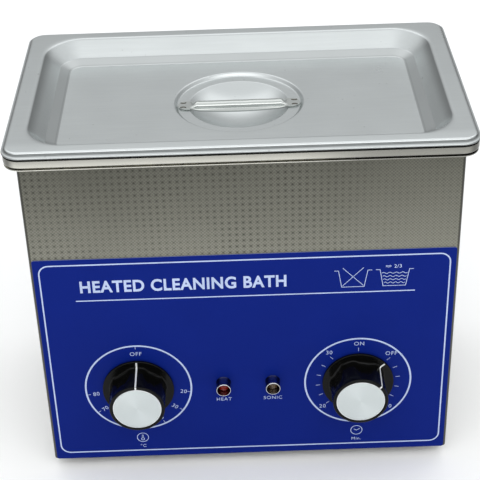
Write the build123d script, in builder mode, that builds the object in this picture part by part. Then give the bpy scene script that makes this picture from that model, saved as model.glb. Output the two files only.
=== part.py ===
from build123d import *
import math
import os

# Bench-top ultrasonic cleaner with a 3 litre heated tank, a lift-off lid and two dial knobs.
# Millimetres. +Z is up, the control panel faces -Y, and +X is to the right as one faces it.
# The origin is on the surface that the feet stand on, under the middle of the overall box.

os.makedirs("parts", exist_ok=True)

# ---- driving dimensions ----
MID_Y = 6.575                    # the tank's axis is this far behind the origin: the knobs stand out in front

FOOT_H, FOOT_R = 8.0, 10.0       # rubber feet
FOOT_X, FOOT_Y = 108.0, 54.0

CASE_W, CASE_D = 253.0, 149.5    # folded sheet housing
CASE_TOP, CASE_T, CASE_R = 226.6, 0.8, 2.5
PLATE_T = 1.0                    # bottom plate, set inside the housing walls
FLOOR = FOOT_H + PLATE_T         # top of the bottom plate
CASE_FRONT = -CASE_D / 2         # outer face of the front wall, from the tank's axis
WALL_IN = CASE_D / 2 - CASE_T    # inner face of the front and back walls

PANEL_W, PANEL_T = 249.4, 0.5    # printed blue control panel
PANEL_LOW, PANEL_HIGH = 8.1, 162.0
PANEL_FACE = CASE_FRONT - PANEL_T

RIM_W, RIM_D, RIM_R = 267.0, 164.0, 11.0     # tank rim: the 1/4 gastronorm outline and a millimetre all round
RIM_TOP, RIM_SKIRT = 232.3, 6.4
SHEET = 0.8                      # flange and lid sheet
TANK_W, TANK_D, TANK_DEEP = 240.0, 135.0, 100.0
TANK_T, TANK_R, TANK_FLOOR_R = 1.0, 25.0, 8.0
MOUTH_R = 3.0                    # rounding between the rim and the tank's walls
TANK_FLOOR = RIM_TOP - TANK_DEEP
TANK_UNDER = TANK_FLOOR - TANK_T

LID_TOP, LID_GAP = 236.3, 0.02   # the rolled hem rests on the tank rim
LID_W, LID_D, LID_R = 268.4, 165.4, 11.7     # the lid's hem stands out a little over the rim
HEM = 3.2                        # width of the rolled hem
RECESS_W, RECESS_D, RECESS_R = 244.0, 141.0, 24.0
WALL_DROP, BAND_DROP = 9.5, 2.9  # steep wall, then a shallow band down to the floor
BAND_IN = 6.5
SLANT, BAND_SHARE = 1.414, 0.6   # how far the outside stands off, in sheets, on the steep wall and the band
LID_FLOOR = LID_TOP - WALL_DROP - BAND_DROP
DISH_TOP_R, DISH_R, DISH_DROP = 39.2, 37.4, 2.1
BOWL_R, BOWL_DEEP = 30.5, 11.0
LEDGE = LID_FLOOR - DISH_DROP    # flat ring round the bowl

HANDLE_Y = -1.5                  # the strip is welded on a little in front of the tank's axis
HANDLE_END, TAB_IN, TAB_W, TAB_T = 37.0, 29.5, 10.0, 1.0
BAR_W, BAR_H, BAR_T = 8.5, 3.0, 1.0

DIAL_X, DIAL_Z = 68.4, 64.45     # knob axes
LAMP_X, LAMP_Z = 15.3, 66.6
KNOB_GAP, KNOB_H = 0.6, 20.6     # from the panel's face to the knob's back and to its cap
SKIRT_R, SKIRT_T = 22.2, 1.7
GRIP_BASE_R, GRIP_TOP_R = 17.6, 17.0
CAP_R, CAP_T = 14.84, 0.8
FLUTES, FLUTE_R, FLUTE_DEEP = 5, 9.0, 2.0
SPINDLE_R, SPINDLE_PLAY = 3.0, 0.05
SPINDLE_FLAT = 1.6               # the flat is this far from the spindle's axis
BUSH_R, BUSH_OUT = 5.0, 1.4      # threaded nose of thermostat and timer, out past the panel
CONTROL_SCREW_X = 14.0           # their two fixing screws, each side of the spindle
CONTROL_SCREWS = [dial * DIAL_X + side * CONTROL_SCREW_X for dial in (-1, 1) for side in (-1, 1)]

TRANSDUCER_X = 55.0
FAN_X, FAN_Z, FAN_SIZE, FAN_DEEP, FAN_HOLE = -60.0, 96.0, 60.0, 25.0, 50.0
INLET_X, INLET_Z, INLET_SCREW = 85.0, 38.0, 40.0
BOARD_LOW, BOARD_T = 18.0, 1.6
BOARD_X, BOARD_Y, BOARD_W, BOARD_D = -20.0, 10.0, 150.0, 80.0
BOARD_TOP = BOARD_LOW + BOARD_T
PLAY = 0.05                      # clearance round pieces that are pressed or screwed in
LOOSE = 0.2                      # clearance round a screw in a plain hole


# ---- planes and shared shapes ----
def level(z, x=0.0, y=0.0):
    """Horizontal plane at height z, with x and y counted from the tank's axis."""
    return Plane((x, MID_Y + y, z))


def facing_front(y, x=0.0, z=0.0):
    """Upright plane whose sketch x is X and sketch y is Z; it extrudes towards the front."""
    return Plane(origin=(x, MID_Y + y, z), x_dir=(1, 0, 0), z_dir=(0, -1, 0))


def turned(at, along, *profile):
    """A turned piece: profile is (radius, distance along the axis) from the point at."""
    start = Vector(at[0], MID_Y + at[1], at[2])
    across = Vector(0, 1, 0) if abs(along[0]) > 0.5 else Vector(1, 0, 0)
    plane = Plane(origin=start, x_dir=across, z_dir=across.cross(Vector(along)))
    with BuildPart() as piece:
        with BuildSketch(plane):
            with BuildLine():
                Polyline(*profile, close=True)
            make_face()
        revolve(axis=Axis(start, Vector(along)))
    return piece.part


def screw(at, along, radius, length, head_r, head_h):
    """A pan-head screw with a cross slot; its head's underside is at the point at."""
    body = turned(at, along, (0, -head_h), (0.6 * head_r, -head_h), (head_r, -0.4 * head_h),
                  (head_r, 0), (radius, 0), (radius, length), (0, length))
    outward = Vector(along) * -1
    top = Vector(at[0], MID_Y + at[1], at[2]) + outward * head_h
    with BuildPart() as piece:
        add(body)
        with BuildSketch(Plane(origin=top, z_dir=outward)):
            for turn in (0, 90):
                Rectangle(1.1 * head_r, 0.26 * head_r, rotation=turn)
        extrude(amount=-0.45 * head_h, mode=Mode.SUBTRACT)
    return piece.part


def m3_screw(at, along):
    """The M3 x 8 screw used for the bottom plate, the board, the inlet and the fan."""
    return screw(at, along, 1.5, 8, 2.8, 1.9)


def nut(at, along, bore_r, flats, height):
    """A plain hexagon nut standing on the point at."""
    start = Vector(at[0], MID_Y + at[1], at[2])
    with BuildPart() as piece:
        with BuildSketch(Plane(origin=start, z_dir=Vector(along))):
            RegularPolygon(radius=flats / 2, side_count=6, major_radius=False)
            Circle(bore_r, mode=Mode.SUBTRACT)
        extrude(amount=height)
    return piece.part


def group(pieces):
    """Separate solids that share one node."""
    with BuildPart() as several:
        for piece in pieces:
            add(piece)
    return several.part


def block(width, depth, height, x, y, z):
    """A plain block standing on height z, its middle at x, y from the tank's axis."""
    with BuildPart() as piece:
        with BuildSketch(level(z, x, y)):
            Rectangle(width, depth)
        extrude(amount=height)
    return piece.part


def wire(radius, *route):
    """A round lead along straight runs joined by arcs as large as the runs allow."""
    points = [Vector(x, MID_Y + y, z) for x, y, z in route]
    radii = []
    for before, corner, after in zip(points, points[1:], points[2:]):
        turn = (corner - before).get_angle(after - corner)
        run = min((corner - before).length, (after - corner).length)
        radii.append(0.45 * run / math.tan(math.radians(turn) / 2))
    with BuildPart() as lead:
        with BuildLine() as path:
            FilletPolyline(*points, radius=radii)
        with BuildSketch(Plane(origin=points[0], z_dir=points[1] - points[0])):
            Circle(radius)
        sweep(path=path.wires()[0])
    return lead.part


def save(part, name):
    part.label = name
    export_step(part, f"parts/{name}.step")


def front_holes(screw_hole_r):
    """The holes that the front wall and the panel share; the panel's screw holes clear the heads."""
    with Locations((-DIAL_X, DIAL_Z), (DIAL_X, DIAL_Z)):
        Circle(BUSH_R + LOOSE)
    with Locations(*((x, DIAL_Z) for x in CONTROL_SCREWS)):
        Circle(screw_hole_r)
    with Locations((-LAMP_X, LAMP_Z), (LAMP_X, LAMP_Z)):
        Circle(4.0 + LOOSE)


# ---- housing: one folded sheet, open at the top for the tank and below for the plate ----
with BuildPart() as housing_shell:
    with BuildSketch(level(FOOT_H)):
        RectangleRounded(CASE_W, CASE_D, CASE_R)
    extrude(amount=CASE_TOP - FOOT_H)
    with BuildSketch(level(FOOT_H)):
        RectangleRounded(CASE_W - 2 * CASE_T, CASE_D - 2 * CASE_T, CASE_R - CASE_T)
    extrude(amount=CASE_TOP - CASE_T - FOOT_H, mode=Mode.SUBTRACT)
    with BuildSketch(level(CASE_TOP)):
        RectangleRounded(TANK_W + 6, TANK_D + 7, TANK_R)
    extrude(amount=-2 * CASE_T, mode=Mode.SUBTRACT)
    # holes in the front wall for the two controls and the two lamps
    with BuildSketch(facing_front(-WALL_IN + 1)):
        front_holes(1.5 + LOOSE)
    extrude(amount=4, mode=Mode.SUBTRACT)
    # holes in the back wall for the fan and the mains inlet
    with BuildSketch(facing_front(CASE_D / 2 + 1)):
        with Locations((FAN_X, FAN_Z)):
            Circle(28.0)
            with GridLocations(FAN_HOLE, FAN_HOLE, 2, 2):
                Circle(1.5 + LOOSE)
        with Locations((INLET_X, INLET_Z)):
            Rectangle(27.8, 20.2)
            with GridLocations(INLET_SCREW, 1, 2, 1):
                Circle(1.5 + LOOSE)
    extrude(amount=4, mode=Mode.SUBTRACT)
save(housing_shell.part, "housing_shell")

with BuildPart() as control_panel:
    with BuildSketch(facing_front(CASE_FRONT, 0, (PANEL_LOW + PANEL_HIGH) / 2)):
        RectangleRounded(PANEL_W, PANEL_HIGH - PANEL_LOW, 1.5)
    extrude(amount=PANEL_T)
    with BuildSketch(facing_front(CASE_FRONT + 1)):
        front_holes(2.9 + LOOSE)
    extrude(amount=4, mode=Mode.SUBTRACT)
save(control_panel.part, "control_panel")

# ---- tank: deep-drawn, with a flat rim whose edge turns down over the housing ----
def tub(grow, top):
    """The tank's hollow from its floor up to a height, or its outside where grow is the wall."""
    with BuildPart() as space:
        with BuildSketch(level(TANK_FLOOR - grow)):
            RectangleRounded(TANK_W + 2 * grow, TANK_D + 2 * grow, TANK_R + grow)
        extrude(amount=top - TANK_FLOOR + grow)
        fillet(space.faces().sort_by(Axis.Z)[0].edges(), radius=TANK_FLOOR_R + grow)
    return space.part


tank_outside, tank_inside = tub(TANK_T, RIM_TOP - SHEET / 2), tub(0, RIM_TOP + 1)
with BuildPart() as tank:
    with BuildSketch(level(RIM_TOP - RIM_SKIRT)):
        RectangleRounded(RIM_W, RIM_D, RIM_R)
    extrude(amount=RIM_SKIRT)
    fillet(tank.faces().sort_by(Axis.Z)[-1].edges(), radius=1.2)
    with BuildSketch(level(RIM_TOP - RIM_SKIRT)):
        RectangleRounded(RIM_W - 2 * SHEET, RIM_D - 2 * SHEET, RIM_R - SHEET)
    extrude(amount=RIM_SKIRT - SHEET, mode=Mode.SUBTRACT)
    add(tank_outside)
    under_rim = RIM_TOP - SHEET
    underside = tank.faces().filter_by(Axis.Z).filter_by_position(Axis.Z, under_rim - 0.1, under_rim + 0.1)
    fillet(underside[0].inner_wires()[0].edges(), radius=MOUTH_R - SHEET)
    add(tank_inside, mode=Mode.SUBTRACT)
    fillet(tank.faces().sort_by(Axis.Z)[-1].inner_wires()[0].edges(), radius=MOUTH_R)
save(tank.part, "tank")

with BuildPart() as tank_seal:
    with BuildSketch(level(CASE_TOP)):
        RectangleRounded(CASE_W - 2, CASE_D - 2, CASE_R)
        RectangleRounded(TANK_W + 6.5, TANK_D + 7.5, TANK_R, mode=Mode.SUBTRACT)
    extrude(amount=RIM_TOP - SHEET - CASE_TOP)
save(tank_seal.part, "tank_seal")

# ---- lid: pressed sheet with a rolled hem, a sunken floor and a dished hand hole ----
def sunken(top, grow):
    """The block above the sunken sheet, from height top; grow moves its faces outwards and down."""
    steep = LID_TOP - WALL_DROP
    # inset from the recess's edge at each level; the steep wall leans in at 45 degrees
    at_top = LID_TOP - top - SLANT * grow
    at_band = WALL_DROP - BAND_SHARE * grow
    levels = ((top, at_top), (steep - grow, at_band), (LID_FLOOR - grow, at_band + BAND_IN))
    with BuildPart() as space:
        for upper, lower in zip(levels, levels[1:]):
            for height, inset in (upper, lower):
                with BuildSketch(level(height)):
                    RectangleRounded(RECESS_W - 2 * inset, RECESS_D - 2 * inset, RECESS_R - inset)
            loft(ruled=True)
    return space.part


def dish(grow):
    """The turned hollow in the lid's floor; grow moves its faces outwards and down."""
    ledge, low = LEDGE - grow, LEDGE - BOWL_DEEP - grow
    sphere = (BOWL_R**2 + BOWL_DEEP**2) / (2 * BOWL_DEEP)
    with BuildPart() as space:
        with BuildSketch(facing_front(0)):
            with BuildLine():
                edge = BOWL_R + 0.4 * grow
                RadiusArc((0, low), (edge, ledge), -(sphere + grow))
                Polyline((edge, ledge), (DISH_R + grow, ledge), (DISH_TOP_R + grow, LID_FLOOR - grow),
                         (DISH_TOP_R + grow, LID_FLOOR + 0.4 - grow), (0, LID_FLOOR + 0.4 - grow), (0, low))
            make_face()
        revolve(axis=Axis((0, MID_Y, 0), (0, 0, 1)))
    return space.part


lid_bottom = RIM_TOP + LID_GAP
bowl_outside, bowl_inside = sunken(LID_TOP - SHEET / 2, SHEET), sunken(LID_TOP + 0.01, 0)
dish_outside, dish_inside = dish(SHEET), dish(0)
with BuildPart() as lid:
    with BuildSketch(level(lid_bottom)):
        RectangleRounded(LID_W, LID_D, LID_R)
    extrude(amount=LID_TOP - lid_bottom)
    fillet(lid.faces().sort_by(Axis.Z)[-1].edges(), radius=1.9)
    fillet(lid.faces().sort_by(Axis.Z)[0].edges(), radius=1.6)
    with BuildSketch(level(lid_bottom)):
        RectangleRounded(LID_W - 2 * HEM, LID_D - 2 * HEM, LID_R - HEM)
    extrude(amount=LID_TOP - SHEET - lid_bottom, mode=Mode.SUBTRACT)
    add(bowl_outside)
    add(dish_outside)
    add(bowl_inside, mode=Mode.SUBTRACT)
    add(dish_inside, mode=Mode.SUBTRACT)
save(lid.part, "lid")

with BuildPart() as lid_handle:
    with BuildSketch(level(LEDGE, 0, HANDLE_Y)):
        for side in (-1, 1):
            with Locations((side * (HANDLE_END - TAB_W / 2), 0)):
                Circle(TAB_W / 2)
            with Locations((side * (TAB_IN + HANDLE_END - TAB_W / 2) / 2, 0)):
                Rectangle(HANDLE_END - TAB_W / 2 - TAB_IN, TAB_W)
    extrude(amount=TAB_T)
    with BuildSketch(Plane(origin=(-TAB_IN - 1, MID_Y + HANDLE_Y, LEDGE), x_dir=(0, 1, 0), z_dir=(1, 0, 0))):
        with BuildLine():
            ThreePointArc((-BAR_W / 2, 0), (0, BAR_H), (BAR_W / 2, 0))
            Line((BAR_W / 2, 0), (BAR_W / 2 - BAR_T * 1.2, 0))
            ThreePointArc((BAR_W / 2 - BAR_T * 1.2, 0), (0, BAR_H - BAR_T), (BAR_T * 1.2 - BAR_W / 2, 0))
            Line((BAR_T * 1.2 - BAR_W / 2, 0), (-BAR_W / 2, 0))
        make_face()
    extrude(amount=2 * TAB_IN + 2)
save(lid_handle.part, "lid_handle")

# ---- bottom plate, brackets, feet and their fasteners ----
BRACKET_X, BRACKET_Y, BRACKET_T = 90.0, 68.0, 1.2
with BuildPart() as bottom_plate:
    with BuildSketch(level(FOOT_H)):
        RectangleRounded(CASE_W - 2 * CASE_T - 0.4, CASE_D - 2 * CASE_T - 0.4, CASE_R - CASE_T)
        with GridLocations(2 * FOOT_X, 2 * FOOT_Y, 2, 2):
            Circle(2.0 + PLAY, mode=Mode.SUBTRACT)
        with GridLocations(2 * BRACKET_X, 2 * BRACKET_Y, 2, 2):
            Circle(1.5 + LOOSE, mode=Mode.SUBTRACT)
        with GridLocations(12, 0, 9, 1):
            SlotOverall(46, 4, rotation=90, mode=Mode.SUBTRACT)
    extrude(amount=PLATE_T)
save(bottom_plate.part, "bottom_plate")

brackets = []
for side_x, side_y in ((-1, -1), (1, -1), (-1, 1), (1, 1)):
    with BuildPart() as bracket:
        with BuildSketch(level(FLOOR, side_x * BRACKET_X, side_y * (WALL_IN - 6))):
            Rectangle(16, 12)
        extrude(amount=BRACKET_T)
        with BuildSketch(level(FLOOR, side_x * BRACKET_X, side_y * (WALL_IN - BRACKET_T / 2))):
            Rectangle(16, BRACKET_T)
        extrude(amount=12)
        with BuildSketch(level(FLOOR, side_x * BRACKET_X, side_y * BRACKET_Y)):
            Circle(1.5 + PLAY)
        extrude(amount=BRACKET_T, mode=Mode.SUBTRACT)
    brackets.append(bracket.part)
save(group(brackets), "base_brackets")
m3_screws = [m3_screw((x * BRACKET_X, y * BRACKET_Y, FOOT_H), (0, 0, 1)) for x in (-1, 1) for y in (-1, 1)]

foot_profile = ((4.4, 0), (FOOT_R - 1.5, 0), (FOOT_R - 1.0, 0.5), (FOOT_R, FOOT_H), (2.0 + LOOSE, FOOT_H),
                (2.0 + LOOSE, 4.0), (4.4, 4.0))
corners = [(x * FOOT_X, y * FOOT_Y) for x in (-1, 1) for y in (-1, 1)]
save(group(turned((x, y, 0), (0, 0, 1), *foot_profile) for x, y in corners), "feet")
save(group(screw((x, y, 4.0), (0, 0, 1), 2.0, 10, 4.0, 2.6) for x, y in corners), "foot_screws")

STUD_X, STUD_H = 100.0, 14.0
save(turned((STUD_X, 0, FLOOR), (0, 0, 1), (0, 0), (3.5, 0), (3.5, 1), (2, 1), (2, STUD_H), (0, STUD_H)),
     "earth_stud")
nut_places = [(x, y, FLOOR) for x, y in corners] + [(STUD_X, 0, FLOOR + 4)]
save(group(nut(place, (0, 0, 1), 2.0 + PLAY, 7.0, 3.2) for place in nut_places), "m4_nuts")


# ---- dial knobs: skirted grip, inlaid pointer, spun cap, set screw and the spindle they turn ----
def out_from_panel(x, z, out):
    """A point on a control's axis, out from the panel's face, as x, y, z from the tank's axis."""
    return x, PANEL_FACE - out, z


def clockwise(part, x, turn):
    """The part turned clockwise about a dial's axis, as seen from the front."""
    return part.rotate(Axis((x, MID_Y, DIAL_Z), (0, 1, 0)), turn)


def pointer(x, turn, play):
    """The white line that runs from the cap's edge down the grip and out over the skirt."""
    top, foot = KNOB_H - 0.3, KNOB_GAP + SKIRT_T
    with BuildPart() as line:
        with BuildSketch(Plane(origin=(x, MID_Y + PANEL_FACE, DIAL_Z), x_dir=(0, 0, 1), z_dir=(1, 0, 0))):
            with BuildLine():
                Polyline((CAP_R + 0.1 - play, top), (GRIP_TOP_R - 0.1, top), (GRIP_BASE_R - 0.1, 5.4),
                         (SKIRT_R - 0.6, foot), (SKIRT_R - 0.6, foot - 0.9), (GRIP_BASE_R - 1.2, 4.2),
                         (GRIP_TOP_R - 1.0, top - 1), (CAP_R + 0.1 - play, top - 1), close=True)
            make_face()
        extrude(amount=0.5 + play, both=True)
    return clockwise(line.part, x, turn)


def flute_cutters(x, turn, low):
    """Leaning round grooves, spaced evenly round the grip, that run out just below its front edge."""
    reach = KNOB_H - low
    lean = math.degrees(math.atan2(FLUTE_DEEP + GRIP_TOP_R - GRIP_BASE_R + 0.6, reach))
    with BuildPart(facing_front(PANEL_FACE - low, x, DIAL_Z)) as cutters:
        with PolarLocations(GRIP_BASE_R - FLUTE_DEEP + FLUTE_R, FLUTES, start_angle=90 - turn + 180 / FLUTES):
            Cylinder(FLUTE_R, 2 * reach, rotation=(0, lean, 0), align=(Align.CENTER, Align.CENTER, Align.MIN))
    return cutters.part


def knob(name, x, turn):
    """One knob with its cap, pointer, set screw and spindle."""
    front = KNOB_GAP + SKIRT_T
    grip_low, hub_r, socket, screw_out = front + 1.6, 6.5, 14.0, 9.0
    at_panel = out_from_panel(x, DIAL_Z, 0)
    blank = turned(at_panel, (0, -1, 0), (0, KNOB_GAP), (SKIRT_R, KNOB_GAP), (SKIRT_R, front - 0.4),
                   (SKIRT_R - 0.4, front), (GRIP_BASE_R + 1, grip_low), (GRIP_BASE_R, grip_low + 1.2),
                   (GRIP_TOP_R + 0.2, KNOB_H - 1.0), (GRIP_TOP_R - 0.4, KNOB_H), (0, KNOB_H))
    screw_at = out_from_panel(x, DIAL_Z, screw_out)
    screw_hole = clockwise(turned(screw_at, (0, 0, -1), (0, 1), (1.5, 1), (1.5, 24), (0, 24)), x, turn)
    with BuildPart() as grip:
        add(blank)
        add(flute_cutters(x, turn, grip_low), mode=Mode.SUBTRACT)
        with BuildSketch(facing_front(PANEL_FACE - KNOB_H, x, DIAL_Z)):
            Circle(CAP_R + PLAY)
        extrude(amount=-CAP_T, mode=Mode.SUBTRACT)
        with BuildSketch(facing_front(PANEL_FACE - KNOB_GAP, x, DIAL_Z)):
            Circle(14.0)
            Circle(hub_r, mode=Mode.SUBTRACT)
            Circle(SPINDLE_R + 0.02)
        extrude(amount=socket - 1, mode=Mode.SUBTRACT)
        with BuildSketch(facing_front(PANEL_FACE - KNOB_GAP, x, DIAL_Z)):
            Circle(14.0)
        extrude(amount=1.4, mode=Mode.SUBTRACT)
        add(screw_hole, mode=Mode.SUBTRACT)
        add(pointer(x, turn, 0.01), mode=Mode.SUBTRACT)
    with BuildPart() as spindle:
        add(turned(at_panel, (0, -1, 0), (0, -11), (SPINDLE_R, -11), (SPINDLE_R, 12.4), (SPINDLE_R - 0.5, 13),
                   (0, 13)))
        with BuildSketch(facing_front(PANEL_FACE - 3, x, DIAL_Z - SPINDLE_FLAT - SPINDLE_R)):
            Rectangle(4 * SPINDLE_R, 2 * SPINDLE_R)
        extrude(amount=20, mode=Mode.SUBTRACT)
    save(grip.part, f"{name}_knob")
    save(pointer(x, turn, 0), f"{name}_pointer")
    save(turned(at_panel, (0, -1, 0), (0, KNOB_H - CAP_T), (CAP_R, KNOB_H - CAP_T), (CAP_R, KNOB_H - 0.15),
                (CAP_R - 0.4, KNOB_H), (0, KNOB_H)), f"{name}_knob_cap")
    save(clockwise(turned(screw_at, (0, 0, -1), (0, SPINDLE_FLAT), (1.45, SPINDLE_FLAT), (1.45, hub_r),
                          (0.8, hub_r), (0.8, hub_r - 1.5), (0, hub_r - 1.5)), x, turn), f"{name}_set_screw")
    save(clockwise(spindle.part, x, turn), f"{name}_spindle")


def control_body(name, x, width, height, depth):
    """The body of a rotary control behind the wall, with its nose, bore and two fixing screws."""
    with BuildPart() as body:
        with BuildSketch(facing_front(-WALL_IN, x, DIAL_Z)):
            RectangleRounded(width, height, 3)
        extrude(amount=-depth)
        with BuildSketch(facing_front(-WALL_IN, x, DIAL_Z)):
            Circle(BUSH_R)
        extrude(amount=-WALL_IN - PANEL_FACE + BUSH_OUT)
        with BuildSketch(facing_front(PANEL_FACE - 5, x, DIAL_Z)):
            Circle(SPINDLE_R + SPINDLE_PLAY)
        extrude(amount=-17, mode=Mode.SUBTRACT)
        with BuildSketch(facing_front(-WALL_IN - 1, x, DIAL_Z)):
            with GridLocations(2 * CONTROL_SCREW_X, 1, 2, 1):
                Circle(1.5 + PLAY)
        extrude(amount=-9, mode=Mode.SUBTRACT)
    save(body.part, name)


knob("heat", -DIAL_X, 0)
knob("timer", DIAL_X, 48.5)
control_body("thermostat", -DIAL_X, 38, 44, 30)
control_body("timer", DIAL_X, 42, 42, 36)
save(group(screw((x, CASE_FRONT, DIAL_Z), (0, 1, 0), 1.5, 7, 2.8, 0.8) for x in CONTROL_SCREWS),
     "control_screws")

# ---- temperature sensor: bulb under the tank, its clips and the capillary tube ----
BULB_R, BULB_Y, BULB_LEFT, BULB_RIGHT = 2.5, -44.0, -104.0, -34.0
BULB_Z = TANK_UNDER - BULB_R - 0.1
save(turned((BULB_LEFT, BULB_Y, BULB_Z), (1, 0, 0), (0, 0), (1.7, 0), (BULB_R, 0.8), (BULB_R, 69.2),
            (1.7, BULB_RIGHT - BULB_LEFT), (0, BULB_RIGHT - BULB_LEFT)), "sensor_bulb")
clips = []
for clip_x in (BULB_LEFT + 15, BULB_RIGHT - 15):
    with BuildPart() as clip:
        with BuildSketch(Plane(origin=(clip_x, MID_Y + BULB_Y, BULB_Z), x_dir=(0, 1, 0), z_dir=(1, 0, 0))):
            Circle(BULB_R + 0.8)
            with Locations((0, (TANK_UNDER - BULB_Z) / 2)):
                Rectangle(2 * BULB_R + 1.6, TANK_UNDER - BULB_Z)
            with Locations((0, TANK_UNDER - BULB_Z - 0.4)):
                Rectangle(18, 0.8)
            Circle(BULB_R + PLAY, mode=Mode.SUBTRACT)
            with Locations((0, (TANK_UNDER - BULB_Z + 1) / 2)):
                Rectangle(2 * BULB_R + 2 * PLAY, TANK_UNDER - BULB_Z + 1, mode=Mode.SUBTRACT)
            with Locations((0, BULB_Z - TANK_UNDER - 10)):
                Rectangle(20, 0.1, mode=Mode.SUBTRACT)
        extrude(amount=8)
    clips.append(clip.part)
save(group(clips), "bulb_clips")
save(wire(0.75, (-DIAL_X + 8, -58, DIAL_Z + 22), (-DIAL_X + 8, -58, 104), (-36, -62, 116), (-6, -58, 121),
          (-10, -45, BULB_Z - 2), (BULB_RIGHT + 14, BULB_Y, BULB_Z), (BULB_RIGHT, BULB_Y, BULB_Z)),
     "capillary_tube")

# ---- indicator lamps ----
lamp_along = (0, -1, 0)
lamp_points = [out_from_panel(x, LAMP_Z, 0) for x in (-LAMP_X, LAMP_X)]
save(group(turned(at, lamp_along, (3.0, -14), (4.0, -14), (4.0, 0), (4.6, 0), (4.6, 7.5), (4.1, 8), (3.6, 8),
                  (3.6, 1.5), (3.0, 1.5)) for at in lamp_points), "lamp_bezels")
for name, at in zip(("heat", "sonic"), lamp_points):
    save(turned(at, lamp_along, (0, 1.5), (3.55, 1.5), (3.55, 6.6), (3.0, 7.5), (1.8, 8.1), (0, 8.3)),
         f"{name}_lamp_lens")
save(group(turned(at, lamp_along, (0, -12), (2.4, -12), (2.4, 0), (1.4, 1), (0, 1.2)) for at in lamp_points),
     "neon_bulbs")
save(group(nut((x, -WALL_IN, LAMP_Z), (0, 1, 0), 4.0 + PLAY, 11, 2.5) for x in (-LAMP_X, LAMP_X)), "lamp_nuts")

# ---- ultrasonic transducers, bonded under the tank floor ----
HORN_H, RING_H, RING_R, FOIL, BACK_H = 30.0, 5.0, 19.0, 0.4, 20.0
stack = [(x, 0, TANK_UNDER) for x in (-TRANSDUCER_X, TRANSDUCER_X)]
down = (0, 0, -1)
first_ring = HORN_H
second_ring = first_ring + RING_H + FOIL
second_foil = second_ring + RING_H
back = second_foil + FOIL
save(group(turned(at, down, (0, 0), (28.5, 0), (28.5, 3), (20, HORN_H - 4), (20, HORN_H), (5.1, HORN_H),
                  (5.1, HORN_H - 18), (0, HORN_H - 18)) for at in stack), "transducer_horns")
save(group(turned(at, down, (7, low), (RING_R, low), (RING_R, low + RING_H), (7, low + RING_H))
           for at in stack for low in (first_ring, second_ring)), "piezo_rings")
foils = []
for x, _, top in stack:
    for low, side in ((first_ring + RING_H, 1), (second_foil, -1)):
        with BuildPart() as foil:
            with BuildSketch(level(top - low - FOIL, x)):
                Circle(RING_R)
                with Locations((0, side * (RING_R + 4))):
                    Rectangle(6, 10)
                Circle(7, mode=Mode.SUBTRACT)
            extrude(amount=FOIL)
        foils.append(foil.part)
save(group(foils), "electrode_foils")
save(group(turned(at, down, (5.2, back), (RING_R, back), (RING_R, back + BACK_H - 1),
                  (RING_R - 1, back + BACK_H), (5.2, back + BACK_H)) for at in stack), "transducer_back_masses")
bolt_in, seat = HORN_H - 17, back + BACK_H
save(group(turned(at, down, (0, bolt_in), (5, bolt_in), (5, seat), (8, seat), (8, seat + 7), (4, seat + 7),
                  (4, seat + 3), (0, seat + 3)) for at in stack), "transducer_bolts")

# ---- heating pads on the tank's long walls ----
pads = []
for side in (-1, 1):
    with BuildPart() as pad:
        with BuildSketch(facing_front(side * (TANK_D / 2 + TANK_T), 0, 178)):
            RectangleRounded(170, 56, 4)
        extrude(amount=-1.5 * side)
    pads.append(pad.part)
save(group(pads), "heating_pads")

# ---- generator board on stand-offs, with its parts ----
hole_x, hole_y = BOARD_W / 2 - 5, BOARD_D / 2 - 5
with BuildPart() as generator_board:
    with BuildSketch(level(BOARD_LOW, BOARD_X, BOARD_Y)):
        Rectangle(BOARD_W, BOARD_D)
        with GridLocations(2 * hole_x, 2 * hole_y, 2, 2):
            Circle(1.5 + LOOSE, mode=Mode.SUBTRACT)
    extrude(amount=BOARD_T)
save(generator_board.part, "generator_board")
board_corners = [(BOARD_X + x * hole_x, BOARD_Y + y * hole_y) for x in (-1, 1) for y in (-1, 1)]
save(group(nut((x, y, FLOOR), (0, 0, 1), 1.5 + PLAY, 5.5, BOARD_LOW - FLOOR) for x, y in board_corners),
     "board_standoffs")
m3_screws += [m3_screw((x, y, BOARD_TOP), (0, 0, -1)) for x, y in board_corners]

SINK_X, SINK_Y, SINK_W, SINK_H, FINS = -68.0, 12.0, 44.0, 34.0, 8
with BuildPart() as heatsink:
    with BuildSketch(level(BOARD_TOP, SINK_X, SINK_Y)):
        Rectangle(SINK_W, 3)
        with Locations((0, 11.0)):
            with GridLocations((SINK_W - 1.4) / (FINS - 1), 1, FINS, 1):
                Rectangle(1.4, 20)
    extrude(amount=SINK_H)
save(heatsink.part, "heatsink")
transistors = []
for x in (SINK_X - 11, SINK_X + 11):
    with BuildPart() as transistor:
        with BuildSketch(level(BOARD_TOP + 5, x, SINK_Y - 4.0)):
            Rectangle(15.6, 5)
        extrude(amount=20)
        with BuildSketch(level(BOARD_TOP, x, SINK_Y - 4.5)):
            with GridLocations(5.4, 1, 3, 1):
                Rectangle(1.2, 0.6)
        extrude(amount=6)
    transistors.append(transistor.part)
save(group(transistors), "power_transistors")

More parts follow.
